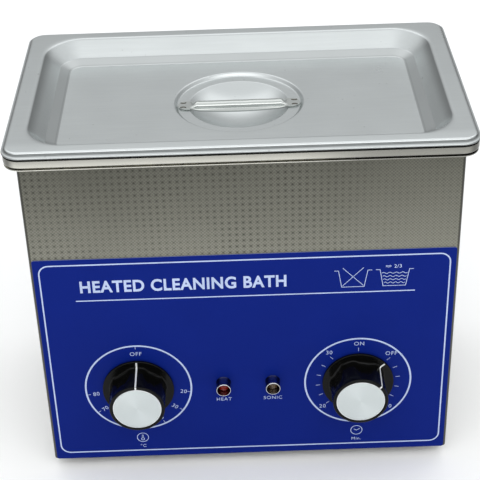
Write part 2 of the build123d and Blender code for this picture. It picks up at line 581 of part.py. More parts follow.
CORE_X, CORE_Y, CORE_W, CORE_H, CORE_D, LEG, WINDOW_H = -16.0, 20.0, 42.0, 36.0, 15.0, 12.0, 22.0
with BuildPart() as ferrite_core:
    with BuildSketch(facing_front(CORE_Y + CORE_D / 2, CORE_X, BOARD_TOP + CORE_H / 2)):
        Rectangle(CORE_W, CORE_H)
        with GridLocations(LEG + 9, 1, 2, 1):
            Rectangle(9, WINDOW_H, mode=Mode.SUBTRACT)
    extrude(amount=CORE_D)
save(ferrite_core.part, "ferrite_core")
with BuildPart() as transformer_winding:
    with BuildSketch(level(BOARD_TOP + (CORE_H - WINDOW_H) / 2 + 0.5, CORE_X, CORE_Y)):
        RectangleRounded(LEG + 17, CORE_D + 17, 4)
        Rectangle(LEG + 0.2, CORE_D + 0.2, mode=Mode.SUBTRACT)
    extrude(amount=WINDOW_H - 1)
save(transformer_winding.part, "transformer_winding")
save(turned((24, 16, BOARD_TOP), (0, 0, 1), (7, 1), (8, 0), (14, 0), (15, 1), (15, 11), (14, 12), (8, 12),
            (7, 11)), "tuning_coil")
save(group(turned((x, -14, BOARD_TOP), (0, 0, 1), (0, 0), (11, 0), (11, 34), (10, 35), (0, 35))
           for x in (8, 36)), "filter_capacitors")
save(group(block(24, 9, 17, x, -20, BOARD_TOP) for x in (-72, -46, -20)), "film_capacitors")
TERMINAL_X, TERMINAL_Y, TERMINAL_H = 40.0, 38.0, 11.0
save(block(11, 9, TERMINAL_H, TERMINAL_X, TERMINAL_Y, BOARD_TOP), "terminal_block")
FUSE_X, FUSE_Y, FUSE_Z = 12.0, 44.0, BOARD_TOP + 5
save(turned((FUSE_X - 10, FUSE_Y, FUSE_Z), (1, 0, 0), (0, 0), (2.6, 0), (2.6, 5), (2.4, 5), (2.4, 15),
            (2.6, 15), (2.6, 20), (0, 20)), "fuse")
clips = []
for x in (FUSE_X - 10, FUSE_X + 6):
    with BuildPart() as clip:
        with BuildSketch(Plane(origin=(x, MID_Y + FUSE_Y, BOARD_TOP), x_dir=(0, 1, 0), z_dir=(1, 0, 0))):
            with Locations((0, 4)):
                Rectangle(6.6, 8)
            with Locations((0, FUSE_Z - BOARD_TOP)):
                Circle(2.6 + 0.02, mode=Mode.SUBTRACT)
            with Locations((0, FUSE_Z - BOARD_TOP + 3)):
                Rectangle(4.2, 6, mode=Mode.SUBTRACT)
        extrude(amount=4)
    clips.append(clip.part)
save(group(clips), "fuse_clips")

# ---- mains inlet in the back wall ----
SOCKET_W, SOCKET_H, SOCKET_DEEP, FLANGE_T = 24.2, 16.2, 16.0, 2.2
BACK = CASE_D / 2
with BuildPart() as power_inlet:
    with BuildSketch(facing_front(BACK + FLANGE_T, INLET_X, INLET_Z)):
        RectangleRounded(INLET_SCREW + 10, 23, 4)
        with GridLocations(INLET_SCREW, 1, 2, 1):
            Circle(1.5 + LOOSE, mode=Mode.SUBTRACT)
    extrude(amount=FLANGE_T)
    with BuildSketch(facing_front(BACK, INLET_X, INLET_Z)):
        RectangleRounded(27.4, 19.8, 1.5)
    extrude(amount=SOCKET_DEEP + 1)
    with BuildSketch(facing_front(BACK + FLANGE_T, INLET_X, INLET_Z)) as mouth:
        Rectangle(SOCKET_W, SOCKET_H)
        chamfer(mouth.vertices().group_by(Axis.Z)[-1], length=3.4)
    extrude(amount=SOCKET_DEEP, mode=Mode.SUBTRACT)
    with BuildSketch(facing_front(BACK, INLET_X, INLET_Z)):
        with Locations((-7, -2), (0, 2), (7, -2)):
            Rectangle(2 + 2 * PLAY, 4 + 2 * PLAY)
    extrude(amount=SOCKET_DEEP + 4, mode=Mode.SUBTRACT)
save(power_inlet.part, "power_inlet")
with BuildPart() as inlet_pins:
    with BuildSketch(facing_front(BACK + FLANGE_T - 1.5, INLET_X, INLET_Z)):
        with Locations((-7, -2), (0, 2), (7, -2)):
            Rectangle(2, 4)
    extrude(amount=26)
save(inlet_pins.part, "inlet_pins")
m3_screws += [m3_screw((INLET_X + side * INLET_SCREW / 2, BACK + FLANGE_T, INLET_Z), (0, -1, 0))
              for side in (-1, 1)]

# ---- cooling fan inside the back wall, with its guard outside ----
HUB_R, BLADES, SHAFT_R = 13.0, 7, 1.5
fan_at = (FAN_X, WALL_IN, FAN_Z)
inwards = (0, -1, 0)
with BuildPart() as fan_frame:
    with BuildSketch(facing_front(WALL_IN, FAN_X, FAN_Z)):
        RectangleRounded(FAN_SIZE, FAN_SIZE, 4)
        Circle(28.5, mode=Mode.SUBTRACT)
        with GridLocations(FAN_HOLE, FAN_HOLE, 2, 2):
            Circle(1.5 + PLAY, mode=Mode.SUBTRACT)
    extrude(amount=FAN_DEEP)
    # motor seat on four struts at the inner face
    with BuildSketch(facing_front(WALL_IN - FAN_DEEP + 3, FAN_X, FAN_Z)):
        Circle(HUB_R)
        with PolarLocations(21, 4, start_angle=45):
            Rectangle(18, 3)
        Circle(3, mode=Mode.SUBTRACT)
    extrude(amount=3)
save(fan_frame.part, "fan_frame")
save(turned(fan_at, inwards, (SHAFT_R + PLAY, 7), (10, 7), (10, 21.5), (2.95, 21.5), (2.95, FAN_DEEP),
            (SHAFT_R + PLAY, FAN_DEEP)), "fan_stator")
hub = turned(fan_at, inwards, (0, 3), (HUB_R - 1, 3), (HUB_R, 4), (HUB_R, 21), (HUB_R - 1.5, 21),
             (HUB_R - 1.5, 5), (SHAFT_R, 5), (SHAFT_R, 23), (0, 23))
with BuildPart(facing_front(WALL_IN - 12, FAN_X, FAN_Z)) as blades:
    with PolarLocations((HUB_R + 27) / 2 - 0.3, BLADES):
        Box(27.6 - HUB_R, 1.2, 19, rotation=(38, 0, 0))
save(group([hub, blades.part]), "fan_impeller")
with BuildPart() as fan_guard:
    with BuildSketch(facing_front(BACK + 1.4, FAN_X, FAN_Z)):
        for ring_r in (27, 20.5, 14, 7.5):
            Circle(ring_r + 0.8)
            Circle(ring_r - 0.8, mode=Mode.SUBTRACT)
        for turn in (45, 135):
            Rectangle(FAN_HOLE * 1.414, 1.6, rotation=turn)
        with GridLocations(FAN_HOLE, FAN_HOLE, 2, 2):
            Circle(3.4)
            Circle(1.5 + LOOSE, mode=Mode.SUBTRACT)
    extrude(amount=1.4)
save(fan_guard.part, "fan_guard")
m3_screws += [m3_screw((FAN_X + x * FAN_HOLE / 2, BACK + 1.4, FAN_Z + z * FAN_HOLE / 2), (0, -1, 0))
              for x in (-1, 1) for z in (-1, 1)]
save(group(m3_screws), "m3_screws")

# ---- internal leads ----
PIN_END = BACK + FLANGE_T - 1.5 - 26 - PLAY
terminal_top = BOARD_TOP + TERMINAL_H + PLAY
live_x, neutral_x, blade_z = INLET_X - 7, INLET_X + 7, INLET_Z - 2
live = wire(1.1, (live_x, PIN_END, blade_z), (live_x, PIN_END - 8, blade_z), (66, 34, 38), (54, 37, 41),
            (TERMINAL_X + 2, TERMINAL_Y, 40), (TERMINAL_X + 2, TERMINAL_Y, terminal_top))
neutral = wire(1.1, (neutral_x, PIN_END, blade_z), (neutral_x, PIN_END - 9, blade_z), (84, 18, 41),
               (66, 20, 48), (50, 29, 50), (TERMINAL_X - 2, TERMINAL_Y, 46),
               (TERMINAL_X - 2, TERMINAL_Y, terminal_top))
earth = wire(1.1, (INLET_X, PIN_END, INLET_Z + 2), (INLET_X, PIN_END - 9, INLET_Z + 2), (94, 26, 50),
             (STUD_X - 1, 8, 47), (STUD_X, 0, 38), (STUD_X, 0, FLOOR + STUD_H + PLAY))
save(group([live, neutral, earth]), "mains_leads")
foil_under = TANK_UNDER - first_ring - RING_H - FOIL - PLAY
save(group([wire(0.9, (TRANSDUCER_X, 26, foil_under), (TRANSDUCER_X, 26, 76), (47, 20, 56), (47, 8, 38),
                 (47, 6, BOARD_TOP + PLAY)),
            wire(0.9, (-TRANSDUCER_X, 26, foil_under), (-TRANSDUCER_X, 26, 76), (-45, 12, 58), (-40, 1, 40),
                 (-40, 0, BOARD_TOP + PLAY))]), "transducer_leads")
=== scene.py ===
"""Looks of a bench-top ultrasonic cleaner.

Satin steel lid and tank, embossed steel housing, blue printed panel, two knobs and two lamps.

Lengths are millimetres until a mesh is made. x and y are counted from the tank's axis, and z from the bench.
"""

import math

import bmesh
import bpy
from mathutils import Matrix, Vector


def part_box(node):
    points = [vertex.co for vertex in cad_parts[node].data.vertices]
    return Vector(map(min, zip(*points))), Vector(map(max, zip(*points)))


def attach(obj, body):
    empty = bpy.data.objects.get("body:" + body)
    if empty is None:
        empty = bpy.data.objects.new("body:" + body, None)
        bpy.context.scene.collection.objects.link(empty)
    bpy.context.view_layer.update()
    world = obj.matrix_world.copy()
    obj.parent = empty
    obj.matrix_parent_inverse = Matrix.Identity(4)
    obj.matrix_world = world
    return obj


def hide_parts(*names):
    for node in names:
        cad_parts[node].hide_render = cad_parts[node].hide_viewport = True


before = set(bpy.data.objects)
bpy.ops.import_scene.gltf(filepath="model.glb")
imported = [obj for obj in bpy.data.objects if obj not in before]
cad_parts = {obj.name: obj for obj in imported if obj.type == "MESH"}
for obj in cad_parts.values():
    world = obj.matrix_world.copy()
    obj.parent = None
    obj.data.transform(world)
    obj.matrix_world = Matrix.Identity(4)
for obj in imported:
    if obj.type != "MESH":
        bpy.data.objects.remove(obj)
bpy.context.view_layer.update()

MM = 0.001


def span(node):
    """Lowest and highest corner of a CAD node, in millimetres."""
    low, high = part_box(node)
    return low / MM, high / MM


# ---- the places that the CAD gives ----
rim_low, rim_high = span("tank")
AXIS_Y = (rim_low.y + rim_high.y) / 2
RIM_W, RIM_D = rim_high.x - rim_low.x, rim_high.y - rim_low.y
RIM_TOP = rim_high.z
lid_low, lid_high = span("lid")
LID_TOP, BOWL_LOW = lid_high.z, lid_low.z
LID_W = lid_high.x - lid_low.x
handle_low, handle_high = span("lid_handle")
LEDGE, HANDLE_TOP = handle_low.z, handle_high.z
HANDLE_END, HANDLE_Y = handle_high.x, (handle_low.y + handle_high.y) / 2 - AXIS_Y
PANEL_Y = span("control_panel")[0].y - AXIS_Y


def middle(node):
    low, high = span(node)
    return (low + high) / 2


DIALS = {name: (middle(name + "_knob_cap").x, middle(name + "_knob_cap").z) for name in ("heat", "timer")}
LAMPS = {name: (middle(name + "_lamp_lens").x, middle(name + "_lamp_lens").z) for name in ("heat", "sonic")}
KNOB_TURN = {"heat": 0.0, "timer": 48.5}      # where each pointer stands at rest, degrees clockwise from the top

# ---- the lid's shape, which its finish needs too ----
RECESS_W, RECESS_D, RECESS_R = 244.0, 141.0, 24.0
LID_R = 11.7
LID_FLOOR, SHEET = 223.9, 0.8
STEEP_LOW, STEEP_IN, FLOOR_IN = 226.8, 9.6, 16.1      # heights and insets from the recess's edge
DISH_TOP_R, DISH_R, BOWL_R = 39.2, 37.4, 30.5
GROOVE_Z, ROLL_Z, LIP_Z, INNER_Z = 234.85, 234.6, 233.7, 234.1      # heights down the rolled hem


# ---- mesh building ----
def to_frame(point):
    return Vector((point[0], point[1] + AXIS_Y, point[2])) * MM


def mesh_object(name, verts, faces, sharp=35.0):
    mesh = bpy.data.meshes.new(name)
    mesh.from_pydata(verts, [], faces)
    mesh.validate()
    work = bmesh.new()
    work.from_mesh(mesh)
    bmesh.ops.remove_doubles(work, verts=work.verts, dist=1e-7)
    bmesh.ops.recalc_face_normals(work, faces=work.faces)
    work.to_mesh(mesh)
    work.free()
    for face in mesh.polygons:
        face.use_smooth = True
    mesh.set_sharp_from_angle(angle=math.radians(sharp))
    made = bpy.data.objects.new(name, mesh)
    bpy.context.scene.collection.objects.link(made)
    return made


def even_normals(piece):
    """Keeps flat faces flat beside their small roundings."""
    weighted = piece.modifiers.new("even_normals", "WEIGHTED_NORMAL")
    weighted.keep_sharp = True
    return piece


def loft(name, rings, sharp=35.0, place=to_frame):
    """A surface through closed rings of equally many points; a ring of one point closes it."""
    verts, faces, starts = [], [], []
    for ring in rings:
        starts.append(len(verts))
        verts += [place(point) for point in ring]
    for a, b, ring_a, ring_b in zip(starts, starts[1:], rings, rings[1:]):
        count = max(len(ring_a), len(ring_b))
        for i in range(count):
            j = (i + 1) % count
            if len(ring_a) == 1:
                faces.append((a, b + j, b + i))
            elif len(ring_b) == 1:
                faces.append((a + i, a + j, b))
            else:
                faces.append((a + i, a + j, b + j, b + i))
    return mesh_object(name, verts, faces, sharp)


FILLET_STEP = 11.0                            # degrees of arc between two points of a rounding


def filleted(*corners):
    """(u, v, radius) corners as points along straight runs joined by arcs."""
    points = [Vector(c[:2]) for c in corners]
    made = [points[0]]
    for i in range(1, len(points) - 1):
        before, corner, after = points[i - 1 : i + 2]
        radius = corners[i][2]
        back, on = (before - corner).normalized(), (after - corner).normalized()
        turn = math.pi - back.angle(on)
        if radius == 0 or turn < 0.02:
            made.append(corner)
            continue
        reach = radius * math.tan(turn / 2)
        start, end = corner + back * reach, corner + on * reach
        centre = corner + (back + on).normalized() * (radius / math.cos(turn / 2))
        count = max(2, math.ceil(math.degrees(turn) / FILLET_STEP))
        a, b = start - centre, end - centre
        for k in range(count + 1):
            share = k / count
            weight_a = math.sin((1 - share) * turn) / math.sin(turn)
            weight_b = math.sin(share * turn) / math.sin(turn)
            made.append(centre + a * weight_a + b * weight_b)
    made.append(points[-1])
    return [(p.x, p.y) for p in made]


def offset(profile, distance):
    """The profile moved sideways, for the other side of a sheet."""
    moved = []
    for i, point in enumerate(profile):
        before, after = Vector(profile[max(0, i - 1)]), Vector(profile[min(len(profile) - 1, i + 1)])
        along = (after - before).normalized()
        moved.append((point[0] - along.y * distance, point[1] + along.x * distance))
    return moved


SIDE, ARC, FRONT = 12, 10, 24                 # divisions of a quarter outline: short side, corner, long side
AROUND = 4 * (SIDE + ARC + FRONT)


def rounded(width, depth, radius, z):
    """A level rounded rectangle, from the middle of its right side."""
    x, y = width / 2, depth / 2
    quarter = [(x, (y - radius) * i / SIDE) for i in range(SIDE)]
    for i in range(ARC):
        turn = math.pi / 2 * i / ARC
        quarter.append((x - radius + radius * math.cos(turn), y - radius + radius * math.sin(turn)))
    quarter += [((x - radius) * (1 - i / FRONT), y) for i in range(FRONT + 1)]
    half = quarter + [(-u, v) for u, v in quarter[-2::-1]]
    return [(u, v, z) for u, v in half + [(-u, -v) for u, v in half[1:-1]]]


def circle(radius, z, count=AROUND):
    return [(radius * math.cos(2 * math.pi * i / count), radius * math.sin(2 * math.pi * i / count), z)
            for i in range(count)]


def smooth(value):
    value = min(1.0, max(0.0, value))
    return value * value * (3 - 2 * value)


def between(ring_a, ring_b, share):
    return [tuple(u + (v - u) * share for u, v in zip(p, q)) for p, q in zip(ring_a, ring_b)]


def facing_front(x, z, turn=0.0):
    """Maps (across, up, out) about an axis on the panel to the frame; turn is clockwise, in degrees."""
    c, s = math.cos(math.radians(turn)), math.sin(math.radians(turn))

    def place(point):
        across, up = point[0] * c + point[1] * s, point[1] * c - point[0] * s
        return to_frame((x + across, PANEL_Y - point[2], z + up))

    return place


WIRE_SIDES = 10


def tube(name, path, radius, closed=False):
    """A round wire along a path; open ends are closed with a point."""
    points = [Vector(p) for p in path]
    rings, count = [], len(points)
    normal = None
    for i, point in enumerate(points):
        before = points[i - 1] if closed or i else point
        after = points[(i + 1) % count] if closed or i < count - 1 else point
        along = (after - before).normalized()
        if normal is None:
            normal = along.orthogonal()
        normal = (normal - along * normal.dot(along)).normalized()
        across = along.cross(normal)
        rings.append([tuple(point + (normal * math.cos(t) + across * math.sin(t)) * radius)
                      for t in (2 * math.pi * k / WIRE_SIDES for k in range(WIRE_SIDES))])
    rings = rings + [rings[0]] if closed else [[tuple(points[0])], *rings, [tuple(points[-1])]]
    return loft(name, rings, sharp=60)


def joined(name, pieces, sharp=35.0):
    """Several meshes as one piece."""
    work = bmesh.new()
    for piece in pieces:
        work.from_mesh(piece.data)
        bpy.data.objects.remove(piece)
    mesh = bpy.data.meshes.new(name)
    work.to_mesh(mesh)
    work.free()
    mesh.set_sharp_from_angle(angle=math.radians(sharp))
    made = bpy.data.objects.new(name, mesh)
    bpy.context.scene.collection.objects.link(made)
    return made


def fit_out(piece, body, slot, look, *stands_for):
    """Gives a piece its finish and its body, and hides the CAD nodes that it replaces; slot is not used."""
    piece.data.materials.clear()
    piece.data.materials.append(look)
    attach(piece, body)
    if stands_for:
        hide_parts(*stands_for)


# ---- procedural finishes ----
class Finish:
    """One material: nodes are added by the calls below and end in a single Principled shader."""

    def __init__(self, name, color, rough, metallic=0.0, **constants):
        self.material = bpy.data.materials.new(name)
        self.material.use_nodes = True
        self.tree = self.material.node_tree
        self.shader = self.tree.nodes["Principled BSDF"]
        self.color = (*color, 1.0)
        self.set("Base Color", self.color)
        self.set("Roughness", rough)
        self.set("Metallic", metallic)
        for socket, value in constants.items():
            self.set(socket.replace("_", " "), value)
        self.place = self.node("TexCoord", "Object")

    def set(self, socket, value):
        self.feed(self.shader.inputs[socket], value)

    def feed(self, socket, value):
        if isinstance(value, bpy.types.NodeSocket):
            self.tree.links.new(value, socket)
        else:
            socket.default_value = value

    def node(self, kind, output=0, inputs=None, **settings):
        made = self.tree.nodes.new("ShaderNode" + kind)
        for key, value in settings.items():
            setattr(made, key, value)
        for key, value in (inputs or {}).items():
            self.feed(made.inputs[key], value)
        return made.outputs[output]

    def maths(self, operation, a, b=0.0):
        return self.node("Math", 0, {0: a, 1: b}, operation=operation)

    def times(self, a, b):
        return self.maths("MULTIPLY", a, b)

    def parts(self, vector=None):
        """The x, y and z of a vector."""
        split = self.tree.nodes.new("ShaderNodeSeparateXYZ")
        self.feed(split.inputs[0], vector or self.place)
        return split.outputs

    def facing(self):
        """The x, y and z of the surface's normal."""
        return self.parts(self.node("NewGeometry", 1))

    def stretched(self, x=1.0, y=1.0, z=1.0):
        return self.node("Mapping", 0, {"Vector": self.place, "Scale": (x, y, z)})

    def noise(self, scale, detail=3.0, vector=None):
        return self.node("TexNoise", 0, {"Vector": vector or self.place, "Scale": scale, "Detail": detail,
                                         "Roughness": 0.55})

    def remap(self, value, low, high, to_low=0.0, to_high=1.0, smooth=True):
        return self.node("MapRange", 0, {"Value": value, "From Min": low, "From Max": high, "To Min": to_low,
                                         "To Max": to_high}, interpolation_type="SMOOTHSTEP" if smooth else "LINEAR")

    def mix(self, share, a, b):
        made = self.tree.nodes.new("ShaderNodeMix")
        made.data_type = "RGBA"
        for socket, value in ((0, share), (6, a), (7, b)):
            self.feed(made.inputs[socket], value)
        return made.outputs[2]

    def tint(self, share, other):
        """Mixes another colour over what the base colour is so far."""
        self.color = self.mix(share, self.color, (*other, 1.0))
        self.set("Base Color", self.color)

    def bump(self, height, distance, strength):
        self.set("Normal", self.node("Bump", 0, {"Height": height, "Distance": distance, "Strength": strength}))


def scaled(color, factor):
    return tuple(c * factor for c in color)


def dark_bends(f, color, start, end, share, flat_share=0.0):
    """Paints the bends at the two ends darker, as they look between dark studio walls; it is colour, not light."""
    ends_from, ends_full = 0.116, 0.122
    aside = f.maths("ABSOLUTE", f.facing()[0])
    at_ends = f.remap(f.maths("ABSOLUTE", f.parts()[0]), ends_from, ends_full, 0.0, share)
    bend = f.times(f.remap(aside, start, end), f.remap(aside, 0.93, 0.99, 1.0, flat_share))
    f.tint(f.times(bend, at_ends), scaled(color, 0.15))


def satin_steel(name, color, rough, grain=(1, 1, 1)):
    """Rolled and satin-finished steel: cloudy tone and fine directional grain."""
    spread = 0.06
    f = Finish(name, color, rough, 1.0)
    cloud = f.noise(18.0, 4.0)
    fine = f.noise(900.0, 2.0, f.stretched(*grain))
    f.tint(f.remap(cloud, 0.35, 0.7, 0.0, 0.5), scaled(color, 1 - 2 * spread))
    f.tint(f.remap(fine, 0.3, 0.75, 0.0, 0.45), scaled(color, 1 + spread))
    f.set("Roughness", f.remap(f.noise(40.0, 2.0), 0.2, 0.8, rough - 0.04, rough + 0.05, smooth=False))
    f.bump(fine, 0.00002, 0.35)
    return f


def lid_finish():
    """Satin sheet with spun rings round the pressed dish and a few dark specks.

    The dark lines along the hem, the hem's near-black underside and the darker wall of the recess with the line at its
    foot are painted shade, and the brighter front is a painted highlight, all placed by height and place.
    """
    color = (0.52, 0.545, 0.545)
    f = Finish("lid_satin_steel", color, 0.30, 1.0)
    x, y, height = f.parts()
    y = f.maths("SUBTRACT", y, AXIS_Y * MM)
    out = f.maths("SQRT", f.maths("ADD", f.times(x, x), f.times(y, y)))
    inside = f.remap(out, (BOWL_R - 0.5) * MM, (BOWL_R + 0.3) * MM, 1.0, 0.0)
    grain = f.noise(700.0, 2.0, f.stretched(0.05, 1.0, 1.0))
    rings = f.noise(1.0, 2.0, f.node("CombineXYZ", 0, {0: f.times(out, 2600.0)}))
    texture = f.node("Mix", 0, {0: inside, 2: grain, 3: rings})
    f.tint(f.remap(f.noise(14.0, 4.0), 0.3, 0.7, 0.0, 0.30), scaled(color, 0.90))
    f.tint(f.remap(texture, 0.35, 0.7, 0.0, 0.25), scaled(color, 1.10))
    specks = f.remap(f.noise(420.0, 1.0), 0.76, 0.80, 0.0, 0.55)
    f.tint(specks, scaled(color, 0.45))

    def between_heights(low, high, soft=0.4):
        """1 between two heights in millimetres, fading to 0 over a soft edge inside each."""
        rising = f.remap(height, low * MM, (low + soft) * MM, 0.0, 1.0)
        return f.times(rising, f.remap(height, (high - soft) * MM, high * MM, 1.0, 0.0))

    def beyond(value, start, width=1.0):
        return f.remap(f.maths("ABSOLUTE", value), start * MM, (start + width) * MM, 0.0, 1.0)

    at_hem = f.maths("MAXIMUM", beyond(x, RECESS_W / 2 + 2.5), beyond(y, RECESS_D / 2 + 2.7))
    # Painted shade: the recess's steep wall and the line at its foot are darkened by height.
    recess_wall_shade = between_heights(LID_FLOOR + 0.2, STEEP_LOW + 0.2)
    crease_shade = between_heights(LID_FLOOR, LID_FLOOR + 0.7, 0.2)
    # Painted shade: two dark lines along the hem, darkened by height near the lid's edge.
    hem_groove_shade = between_heights(GROOVE_Z - 0.19, GROOVE_Z + 0.55, 0.14)
    hem_lip_shade = between_heights(LIP_Z - 0.4, LIP_Z + 0.5)
    # Painted shade: the hem's underside is made near black, so that the gap under the lid looks dark.
    under = f.times(f.maths("LESS_THAN", f.facing()[2], -0.4), between_heights(LIP_Z - 0.4, GROOVE_Z + 0.35, 0.2))
    # Painted highlight: the flat in front of the recess is brightened.
    front_from, front_full, flat = -0.066, -0.074, LID_TOP - 0.5
    front = f.times(f.remap(y, front_from, front_full, 0.0, 1.0),
                    f.remap(height, flat * MM, (flat + 0.3) * MM, 0.0, 1.0))
    # The tints below paint shade, and one highlight, into the base colour.
    f.tint(recess_wall_shade, scaled(color, 0.74))
    f.tint(f.times(crease_shade, 0.5), scaled(color, 0.45))
    f.tint(f.times(hem_groove_shade, f.times(at_hem, 0.65)), scaled(color, 0.15))
    f.tint(f.times(hem_lip_shade, f.times(at_hem, 0.60)), scaled(color, 0.15))
    f.tint(f.times(under, at_hem), scaled(color, 0.04))
    f.tint(front, scaled(color, 1.16))
    dark_bends(f, color, 0.45, 0.85, 0.75, 0.6)
    f.set("Roughness", f.remap(f.noise(40.0, 2.0), 0.2, 0.8, 0.27, 0.34, smooth=False))
    f.bump(texture, 0.000015, 0.30)
    return f.material


def linen_finish():
    """Steel sheet rolled with a small diamond weave and a dark dot in each diamond.

    Painted shade darkens it towards the top and in the bends, and painted light makes its dots fade to the right.
    """
    color = (0.205, 0.203, 0.170)
    f = Finish("linen_embossed_steel", color, 0.36, 1.0)
    nx, _, nz = f.facing()
    x, y, z = f.parts()
    sideways = f.maths("GREATER_THAN", f.maths("ABSOLUTE", nx), 0.7)
    level = f.maths("GREATER_THAN", f.maths("ABSOLUTE", nz), 0.7)
    u = f.node("Mix", 0, {0: sideways, 2: x, 3: y})
    v = f.node("Mix", 0, {0: level, 2: z, 3: y})

    def wave(value, length):
        return f.maths("COSINE", f.times(value, 2 * math.pi / length))

    def line(value):
        return f.remap(f.maths("ABSOLUTE", value), 0.0, 0.45, 1.0, 0.0)

    pitch = 0.00408
    a, b = f.maths("ADD", u, v), f.maths("SUBTRACT", u, v)
    weave = f.times(wave(a, pitch / 2), wave(b, pitch / 2))
    ridge = f.maths("MAXIMUM", line(wave(a, pitch)), line(wave(b, pitch)))
    dots = f.maths("ADD", wave(u, pitch), wave(v, pitch))
    dot = f.remap(dots, 0.1, 1.5, 0.0, 1.0)
    cloud = f.noise(9.0, 3.0)
    # The dots are patchy at random and painted fainter to the right as a change of light.
    right_light_fade = f.remap(x, 0.02, 0.11, 1.0, 0.30)
    dot_patches_and_light_fade = f.times(f.remap(f.noise(26.0, 2.0), 0.3, 0.62, 0.35, 1.0), right_light_fade)
    f.tint(f.times(dot, f.times(dot_patches_and_light_fade, 0.85)), scaled(color, 0.36))
    f.tint(f.times(ridge, 0.60), scaled(color, 2.1))
    f.tint(f.remap(cloud, 0.35, 0.7, 0.0, 0.25), scaled(color, 0.85))
    # Painted shade: darker towards the top, below the rim.
    f.tint(f.remap(z, 0.155, 0.220, 0.0, 0.50, smooth=False), scaled(color, 0.05))
    # Painted shade: the bends at the sides are darkened, as dark surroundings would show in them.
    aside = f.maths("ABSOLUTE", nx)
    bend = f.times(f.remap(aside, 0.10, 0.45, 0.0, 0.8), f.remap(aside, 0.93, 0.99, 1.0, 0.0))
    f.tint(bend, scaled(color, 0.15))
    height = f.maths("ADD", f.times(weave, 0.5), f.times(dot, -0.5))
    f.set("Roughness", f.remap(cloud, 0.3, 0.7, 0.32, 0.42))
    f.bump(height, 0.00009, 0.8)
    return f.material


def panel_finish():
    """Screen-printed film: even satin blue with a faint texture, and a painted highlight on its upward-facing edge."""
    color = (0.0030, 0.0150, 0.190)
    f = Finish("blue_panel_film", color, 0.42, 0.0, Specular_IOR_Level=0.05)
    cloud = f.noise(26.0, 3.0)
    f.tint(f.remap(cloud, 0.35, 0.7, 0.0, 0.5), (0.0038, 0.0175, 0.215))
    f.tint(f.remap(f.noise(1500.0, 1.0), 0.4, 0.7, 0.0, 0.35), (0.0025, 0.0125, 0.165))
    # Painted highlight: faces that look up are made paler.
    f.tint(f.remap(f.facing()[2], 0.4, 0.8, 0.0, 0.55), (0.45, 0.50, 0.62))
    f.set("Roughness", f.remap(cloud, 0.3, 0.7, 0.38, 0.46))
    f.bump(f.noise(2600.0, 2.0), 0.00002, 0.25)
    return f.material


def moulded(name, color, rough, scale=1200.0, depth=0.00003, **constants):
    """Moulded plastic, rubber or paint: slight tone change and a fine grain."""
    f = Finish(name, color, rough, 0.0, **constants)
    cloud = f.noise(45.0, 3.0)
    f.tint(f.remap(cloud, 0.35, 0.7, 0.0, 0.5), scaled(color, 0.8))
    f.set("Roughness", f.remap(cloud, 0.3, 0.75, max(0.03, rough - 0.05), rough + 0.07))
    f.bump(f.noise(scale, 2.0), depth, 0.4)
    return f.material


def metal(name, color, rough, scale=500.0, grain=(1, 1, 1), depth=0.00002):
    """Plain or plated metal with mottled tone and fine machining marks."""
    f = Finish(name, color, rough, 1.0)
    cloud = f.noise(120.0, 3.0)
    fine = f.noise(scale, 2.0, f.stretched(*grain))
    f.tint(f.remap(cloud, 0.35, 0.7, 0.0, 0.6), scaled(color, 0.82))
    f.set("Roughness", f.remap(fine, 0.3, 0.7, max(0.04, rough - 0.06), rough + 0.08))
    f.bump(fine, depth, 0.4)
    return f.material


def chrome_finish():
    """Bright plating, painted darker on the tubes' sides to stand for a dark room's reflection."""
    f = Finish("lamp_chrome", (0.66, 0.67, 0.70), 0.08, 1.0)
    nx, ny, _ = f.facing()
    dark = (0.02, 0.02, 0.03)
    f.tint(f.remap(f.maths("ABSOLUTE", ny), 0.3, 0.6, 0.45, 0.0), dark)
    f.tint(f.remap(f.maths("ABSOLUTE", nx), 0.25, 0.80, 0.0, 0.90), dark)
    f.set("Roughness", f.remap(f.noise(600.0, 2.0), 0.3, 0.7, 0.06, 0.14))
    return f.material


def lens_finish(name, color, clearness):
    """Tinted lens with moulded facets."""
    f = Finish(name, color, 0.12, 0.0, Transmission_Weight=clearness, IOR=1.49,
               Specular_IOR_Level=0.2)
    facets = f.node("TexVoronoi", 0, {"Vector": f.place, "Scale": 700.0})
    f.tint(f.remap(facets, 0.2, 0.8, 0.0, 0.5), scaled(color, 0.55))
    f.set("Roughness", f.remap(f.noise(300.0), 0.3, 0.7, 0.08, 0.18))
    f.bump(facets, 0.0002, 0.5)
    return f.material


def banded(name, color, other, pitch, axis, rough):
    """Turns of wire or fins of a part: stripes across one axis."""
    f = Finish(name, color, rough)
    stripe = f.maths("SINE", f.times(f.parts()[axis], 2 * math.pi / pitch))
    f.tint(f.remap(stripe, -0.6, 0.6, 0.0, 1.0), other)
    f.bump(stripe, 0.0001, 0.6)
    return f.material


def tank_finish():
    """Satin steel with painted shade: darker along the rim's upper edge and towards its right end."""
    color = (0.62, 0.61, 0.55)
    f = satin_steel("tank_satin_steel", color, 0.26, (0.08, 0.08, 1.0))
    x, _, z = f.parts()
    # Painted shade under the lid's hem: darker towards the rim's top.
    f.tint(f.remap(z, (RIM_TOP - 4.2) * MM, RIM_TOP * MM, 0.0, 0.75, smooth=False), scaled(color, 0.5))
    # Painted shade: darker towards the right end, the tank's inside as well.
    right_from, right_full = 0.025, 0.08
    f.tint(f.remap(x, right_from, right_full, 0.0, 0.8), scaled(color, 0.35))
    dark_bends(f, color, 0.26, 0.70, 0.85)
    return f.material


